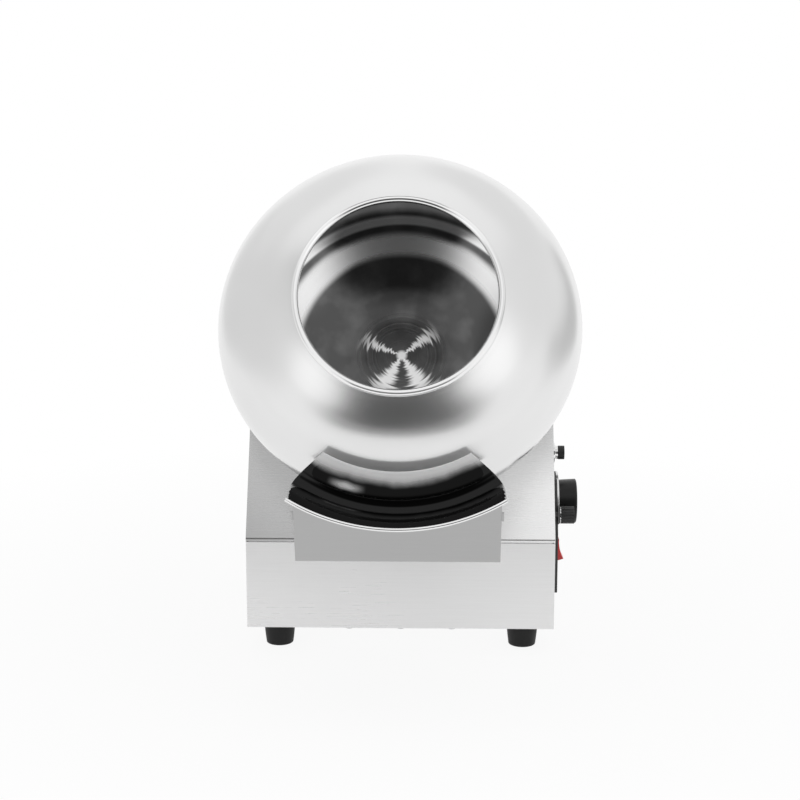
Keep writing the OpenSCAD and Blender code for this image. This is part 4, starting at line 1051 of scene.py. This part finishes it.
def make_dial():
    """A brushed disc with a scale of fine lines and the numbers 0 to 10."""
    edge = 0.0006
    outline = [(DIAL_BORE, 0), (DIAL_R, 0)] + arc(DIAL_R - edge, DIAL_T - edge, edge, 0, 90, 4)
    outline += [(KNOB_R + 0.0015, DIAL_T), (DIAL_BORE, DIAL_T), (DIAL_BORE, 0)]
    disc = turned_to_the_right("dial", outline, (PLATE_X, CONTROL_Y, KNOB_Z))
    dress(disc, dial_alloy)
    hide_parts("dial_disc")
    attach(disc, "chassis")
    face = PLATE_X + DIAL_T
    marks = []
    for k in range(DIAL_STEPS * 2 + 1):
        length, width = SHORT_MARK if k % 2 else LONG_MARK
        mark = block("mark", (face - MARK_SUNK, -width / 2, MARK_R),
                     (face + MARK_UP, width / 2, MARK_R + length))
        soften(mark, 0.00008, 1)
        marks.append(settle(mark, round_the_knob(dial_angle(k / (2 * DIAL_STEPS)))))
    marks += [dial_number(k, face) for k in range(DIAL_STEPS + 1)]
    scale = join(marks, "dial_scale")
    dress(scale, black_plastic)
    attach(scale, "chassis")


def make_speed_knob():
    """A round knob with a hollow face, and a white line that points at the scale."""
    edge, hollow = 0.002, 0.0004
    outline = [(0, 0), (KNOB_R - 0.0022, 0)] + arc(KNOB_R - 0.0018, 0.0006, 0.0006, -60, 0, 3)
    outline += [(KNOB_R - 0.0008, 0.006), (KNOB_R - 0.0001, KNOB_L - edge)]
    outline += arc(KNOB_R - edge, KNOB_L - edge, edge, 10, 90, 7)
    outline += [(KNOB_R - 0.0045, KNOB_L), (KNOB_R - 0.0050, KNOB_L - 0.0003),
                (KNOB_R - 0.0065, KNOB_L - hollow), (0.004, KNOB_L - hollow), (0, KNOB_L - hollow)]
    knob = turned_to_the_right("knob", outline, (KNOB_X, CONTROL_Y, KNOB_Z), 128)
    dress(knob, knob_plastic)
    line_w, line_start, line_end = 0.0014, 0.011, KNOB_R - 0.0030
    line = block("knob_line", (KNOB_X + KNOB_L - 0.0010, -line_w / 2, line_start),
                 (KNOB_X + KNOB_L - 0.00008, line_w / 2, line_end))
    soften(line, 0.0002, 2)
    settle(line, round_the_knob(dial_angle(0)))
    dress(line, mark_white)
    smooth(line, 35)
    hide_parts("speed_knob")
    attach(knob, "speed_control")
    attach(line, "speed_control")


FLUTES = 18
FLUTE_SHARE = 0.915
FACE_RIM = 0.0014
FACE_STEP = 0.0008
FACE_SUNK = 0.0006
BAND_H = 0.0013
BRIGHT_RING = (0.0068, 0.0084)


def on_bright_ring(face):
    """The second finish, for the ring on the small knob's end."""
    r = math.hypot(face.center.x, face.center.y)
    return int(face.normal.z > 0.9 and BRIGHT_RING[0] < r < BRIGHT_RING[1])


def make_trim_knob():
    """A small fluted knob: every fourth pair of its long edges is pressed in, and its face is sunk."""
    bpy.ops.mesh.primitive_cylinder_add(vertices=FLUTES * 4, radius=TRIM_R, depth=TRIM_L,
                                        location=(0, 0, TRIM_L / 2))
    knob = named("small_knob")
    settle(knob)
    edit_mode(knob)
    step = 2 * math.pi / FLUTES
    pick(knob, "VERT", lambda p: abs(math.remainder(math.atan2(p.y, p.x), step)) < step / 8)
    bpy.ops.transform.resize(value=(FLUTE_SHARE, FLUTE_SHARE, 1), center_override=(0, 0, 0))
    pick(knob, "FACE", lambda c, n: n.z > 0.9)
    bpy.ops.mesh.inset(thickness=FACE_RIM)
    bpy.ops.mesh.inset(thickness=FACE_STEP)
    bpy.ops.transform.translate(value=(0, 0, -FACE_SUNK))
    object_mode()
    soften(knob, 0.00018, 2, 25)
    smooth(knob, 40)
    dress(knob, trim_plastic, bead_steel)
    shade_slots(knob, on_bright_ring)
    settle(knob, to_the_right(TRIM_X, TRIM_Y, TRIM_Z))
    inner, low, edge = TRIM_R - 0.0012, 0.0001, 0.0002
    outline = [(inner, low), (TRIM_R - edge, low), (TRIM_R, low + edge), (TRIM_R, BAND_H - edge),
               (TRIM_R - edge, BAND_H), (inner, BAND_H), (inner, low)]
    band = turned_to_the_right("small_knob_band", outline, (TRIM_X, TRIM_Y, TRIM_Z), 72)
    dress(band, bead_steel)
    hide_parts("trim_knob")
    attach(knob, "trim_control")
    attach(band, "trim_control")


ROCKER_TILT = math.radians(13)
ROCKER_PIVOT = Vector((PLATE_X + 0.001, CONTROL_Y, SWITCH_Z))
ROCKER_L = 0.025
ROCKER_W = 0.018
ROCKER_FACE = 0.0072
ROCKER_FOOT = -0.006
ROCKER_HOLLOW = 0.0018
HOLLOW_STEPS = 16


def make_rocker():
    """The rocker's outline with its hollow face, drawn at its resting tilt."""
    face = []
    for i in range(HOLLOW_STEPS + 1):
        across = 2 * i / HOLLOW_STEPS - 1
        face.append((ROCKER_FACE - ROCKER_HOLLOW * (1 - across ** 2) ** 0.8, 0.48 * ROCKER_L * across))
    outline = [(ROCKER_FOOT, -0.4 * ROCKER_L), (0.001, -ROCKER_L / 2)] + face
    outline += [(0.001, ROCKER_L / 2), (ROCKER_FOOT, 0.4 * ROCKER_L)]
    turn = Matrix.Rotation(ROCKER_TILT, 2)
    points = []
    for p in outline:
        out, up = turn @ Vector(p)
        points.append(ROCKER_PIVOT + Vector((out, -ROCKER_W / 2, up)))
    rocker = slab("red_rocker", points, (0, ROCKER_W, 0))
    soften(rocker, 0.0006, 3, 40)
    dress(rocker, rocker_red)
    smooth(rocker, 35)
    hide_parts("rocker")
    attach(rocker, "power_rocker")


def switch_block(name, x0, x1, size):
    """A block of the switch between two places on X, by its width and height."""
    return block(name, (x0, CONTROL_Y - size[0] / 2, SWITCH_Z - size[1] / 2),
                 (x1, CONTROL_Y + size[0] / 2, SWITCH_Z + size[1] / 2))


def make_switch_frame():
    """The rim on the plate and the open body behind it."""
    opening, outer = (0.019, 0.0274), (0.031, 0.0394)
    wall, floor, rim_t, depth, past = 0.0015, 0.003, 0.0022, 0.020, 0.001
    body = (opening[0] + 2 * wall, opening[1] + 2 * wall)
    rim = switch_block("switch_rim", PLATE_X, PLATE_X + rim_t, outer)
    soften(rim, 0.0008, 3)
    cut_away(rim, switch_block("switch_hole", PLATE_X - past, PLATE_X + rim_t + past, opening))
    well = switch_block("switch_well", PLATE_X - depth, PLATE_X + 0.0005, body)
    cut_away(well, switch_block("switch_room", PLATE_X - depth + floor, PLATE_X + 2 * past, opening))
    switch = join([rim, well], "switch_body")
    dress(switch, black_plastic)
    smooth(switch, 35)
    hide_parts("switch_frame")
    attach(switch, "chassis")


def make_fuse():
    """The nut on the side panel and the grooved collar on it."""
    nut_r, nut_t, collar_r, body_r = 0.012, 0.0025, 0.008, 0.0064
    end, edge = 0.0063, 0.0005
    outline = [(body_r, 0), (nut_r, 0), (nut_r, nut_t - edge), (nut_r - edge, nut_t), (collar_r, nut_t),
               (collar_r, nut_t + 0.0006), (collar_r - edge, nut_t + 0.0009),
               (collar_r - edge, nut_t + 0.0016), (collar_r, nut_t + 0.0019),
               (collar_r, end - edge), (collar_r - edge, end), (body_r, end), (body_r, 0)]
    collar = turned_to_the_right("fuse_ring", outline, (HALF_W, CONTROL_Y, FUSE_Z), 72)
    dress(collar, bead_steel)
    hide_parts("fuse_collar")
    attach(collar, "chassis")


REAR_SCREW_X = 0.166
REAR_SCREW_Z = (0.040, 0.208, 0.376)
SCREW_R = 0.0035
SCREW_H = 0.0018
SLOT_L = 0.0036
SLOT_W = 0.0008
SLOT_DEPTH = 0.0009


def make_rear_screws():
    """Small pan-head screws along the rear panel's edges, with a crossed slot each."""
    outline = [(0, 0), (SCREW_R, 0), (SCREW_R, 0.0005)] + arc(0, -0.0025, 0.0043, 36, 90, 6)
    screw = turned("rear_screw", [(r, min(z, SCREW_H)) for r, z in outline], 32)
    for x, y in ((SLOT_L / 2, SLOT_W / 2), (SLOT_W / 2, SLOT_L / 2)):
        cut_away(screw, block("slot", (-x, -y, SCREW_H - SLOT_DEPTH), (x, y, SCREW_H + 0.001)))
    smooth(screw, 35)
    low, middle, high = REAR_SCREW_Z
    spots = [(x, z) for x in (-REAR_SCREW_X, 0.0, REAR_SCREW_X) for z in (low, high)]
    spots += [(-REAR_SCREW_X, middle), (REAR_SCREW_X, middle)]
    to_the_back = Matrix.Rotation(-math.pi / 2, 4, "X")
    places = [Matrix.Translation((x, HALF_D, z)) @ to_the_back for x, z in spots]
    screws = copies(screw, places, "rear_screws")
    dress(screws, screw_steel)
    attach(screws, "chassis")


# Finishes of the CAD pieces that stay
CAD_FINISHES = {
    side_steel: ["left_panel", "right_panel", "rear_panel"],
    pan_steel: ["base_pan", "bottom_hatch", "gear_plate"],
    screw_steel: ["hatch_screws", "foot_screws", "bracket_screws"],
    shaft_steel: ["drum_shaft", "speed_spindle", "rotor_shaft", "layshaft", "motor_bearings", "inlet_pins"],
    gear_steel: ["output_gear", "layshaft_gear", "layshaft_pinion", "motor_pinion", "gear_key", "rotor_core"],
    cast_alloy: ["gearbox_housing", "gearbox_cover", "motor_cap", "drum_hub"],
    bronze: ["output_bushes", "layshaft_bushes", "board_posts"],
    copper: ["commutator"],
    black_oxide: ["hub_screw", "gearbox_bolts", "cover_screws", "motor_bolts", "motor_brushes"],
    ferrite: ["motor_magnets"],
    motor_paint: ["motor_can"],
    foot_rubber: ["shaft_seal"],
    black_plastic: ["power_inlet", "fuse_holder", "fuse_cap"],
    part_grey: ["control_pots", "board_parts"],
    board_green: ["speed_board"],
    wire_brown: ["wiring"],
    fuse_glass: ["glass_fuse"],
}


def finish_cad_pieces():
    for material, names in CAD_FINISHES.items():
        for name in names:
            dress(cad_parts[name], material)


# The studio
CAMERA_PLACE = (0.040, -1.9334, 0.6259)
CAMERA_DOWN = 10.63
CAMERA_TURN = 1.30
CAMERA_LENS = 72.7
CAMERA_SENSOR = 36.0
# How bright the room is where only its light counts, and how white the floor is shown near the machine
ROOM_LIGHT = 0.62
FLOOR_SHOWN = 0.91
FLOOR_SIZE = (6.0, 3.8)
FLOOR_Y = 0.85
FLOOR_FADE = (0.35, 1.0)
# Parts of the room: degrees round from the camera's side and up, their reach, and how bright they are
ROOM_PATCHES = {
    "camera_side": ((0, 3), (25, 27), 0.10),
    "camera_low": ((0, -9), (36, 13), 0.08),
    "left_screen": ((-60, 37), (26, 16), 0.54),
    "left_wall": ((-98, 22), (50, 26), 0.80),
    "right_screen": ((108, 12), (28, 18), 0.60),
    "right_wall": ((85, 32), (42, 22), 0.88),
    "back_left": ((-140, 48), (34, 16), 0.88),
    "back_right": ((140, 48), (34, 16), 0.86),
    "right_light": ((41, 14), (15, 15), 1.25),
    "left_light": ((-37, 6), (12, 13), 1.25),
}
# A patch has rounded corners and soft edges
PATCH_CORNER = 3.0
PATCH_EDGE = (0.3, 1.6)
# Name, place, aim, size and power of each lamp
LAMPS = [
    ("overhead", (0.2, 0.1, 2.2), (0, -0.1, 0.3), (2.4, 1.8), 14.0),
    ("right_front", (1.36, -1.75, 1.05), (0, -0.1, 0.36), (1.0, 0.8), 2.8),
    ("left_front", (-1.25, -1.75, 0.95), (0, -0.1, 0.36), (0.9, 0.7), 1.6),
]


def room_brightness(n):
    """The pale room as its reflections show it: dark on the camera's side, with grey screens and lights."""
    x, y, z = n.add("SeparateXYZ", {0: n.add("TexCoord").outputs["Generated"]}).outputs
    across = n.times(n.maths("ARCTAN2", x, n.times(y, -1.0)), 180 / math.pi)
    up = n.times(n.maths("ARCSINE", z), 180 / math.pi)
    room = 1.0
    for at, reach, bright in ROOM_PATCHES.values():
        far = []
        for angle, middle, half in zip((across, up), at, reach):
            off = n.maths("DIVIDE", n.maths("SUBTRACT", angle, middle), half)
            far.append(n.maths("POWER", n.maths("ABSOLUTE", off), PATCH_CORNER))
        inside = n.maths("SUBTRACT", 1.0, n.rise(n.plus(*far), *PATCH_EDGE))
        room = n.plus(room, n.times(inside, n.maths("SUBTRACT", bright, room)))
    return room


def seen_share(n, ray):
    """1 for what the camera sees, straight or through mirrors and glass, and 0 for plain light."""
    mirrored = n.plus(ray["Is Glossy Ray"], ray["Is Transmission Ray"])
    return n.maths("MINIMUM", 1.0, n.plus(ray["Is Camera Ray"], mirrored))


def make_room():
    """Seen straight by the camera, the room is plain white."""
    world = bpy.data.worlds.new("studio")
    bpy.context.scene.world = world
    world.use_nodes = True
    n = Nodes(world.node_tree)
    ray = n.add("LightPath").outputs
    room = n.mix(ray["Is Camera Ray"], room_brightness(n), 1.0)
    level = n.plus(n.times(seen_share(n, ray), 1.0 - ROOM_LIGHT), ROOM_LIGHT)
    colour = n.add("CombineColor", {0: room, 1: room, 2: room}).outputs[0]
    back = n.add("Background", {"Color": colour, "Strength": level})
    n.tree.links.new(back.outputs[0], n.add("OutputWorld").inputs[0])


def make_floor():
    """A white floor that shows the machine's shadow and fades into the background."""
    bpy.ops.mesh.primitive_plane_add(size=1, location=(0, FLOOR_Y, 0))
    floor = named("floor")
    floor.scale = (*FLOOR_SIZE, 1)
    settle(floor)
    paint = Finish("floor_white", grey(0.86), 0.0, 0.7)
    mottle = paint.noise(paint.place(), 3.0, 2.0)
    paint.set("Base Color", paint.tint(mottle, grey(0.85), grey(0.87)))
    away = paint.add("VectorMath", {0: paint.place()}, operation="LENGTH").outputs["Value"]
    level = paint.spread(away, FLOOR_SHOWN, 1.0, *FLOOR_FADE)
    share = paint.times(seen_share(paint, paint.add("LightPath").outputs), level)
    white = paint.add("Emission", {"Color": (1, 1, 1, 1), "Strength": 1.0})
    mixed = paint.add("MixShader", {0: share, 1: paint.shader.outputs[0], 2: white.outputs[0]})
    paint.tree.links.new(mixed.outputs[0], paint.end.inputs[0])
    dress(floor, paint.material)


def make_lamps():
    """Large soft lamps, which no mirror shows."""
    for name, place, aim, size, power in LAMPS:
        bpy.ops.object.light_add(type="AREA", location=place)
        lamp = named(name)
        lamp.data.shape = "RECTANGLE"
        lamp.data.size, lamp.data.size_y = size
        lamp.data.energy = power
        lamp.rotation_euler = (Vector(aim) - Vector(place)).to_track_quat("-Z", "Y").to_euler()
        lamp.visible_glossy = False


def make_camera():
    turn = (math.radians(90 - CAMERA_DOWN), 0, math.radians(CAMERA_TURN))
    bpy.ops.object.camera_add(location=CAMERA_PLACE, rotation=turn)
    camera = named("camera")
    camera.data.lens = CAMERA_LENS
    camera.data.sensor_width = CAMERA_SENSOR
    bpy.context.scene.camera = camera
    bpy.context.scene.view_settings.view_transform = "Standard"


make_pot()
make_bead()
make_chute()
make_chute_roll()
make_front_panel()
make_sloped_cover()
make_bracket()
make_feet()
make_control_plate()
make_dial()
make_speed_knob()
make_trim_knob()
make_rocker()
make_switch_frame()
make_fuse()
make_rear_screws()
finish_cad_pieces()
make_room()
make_floor()
make_lamps()
make_camera()
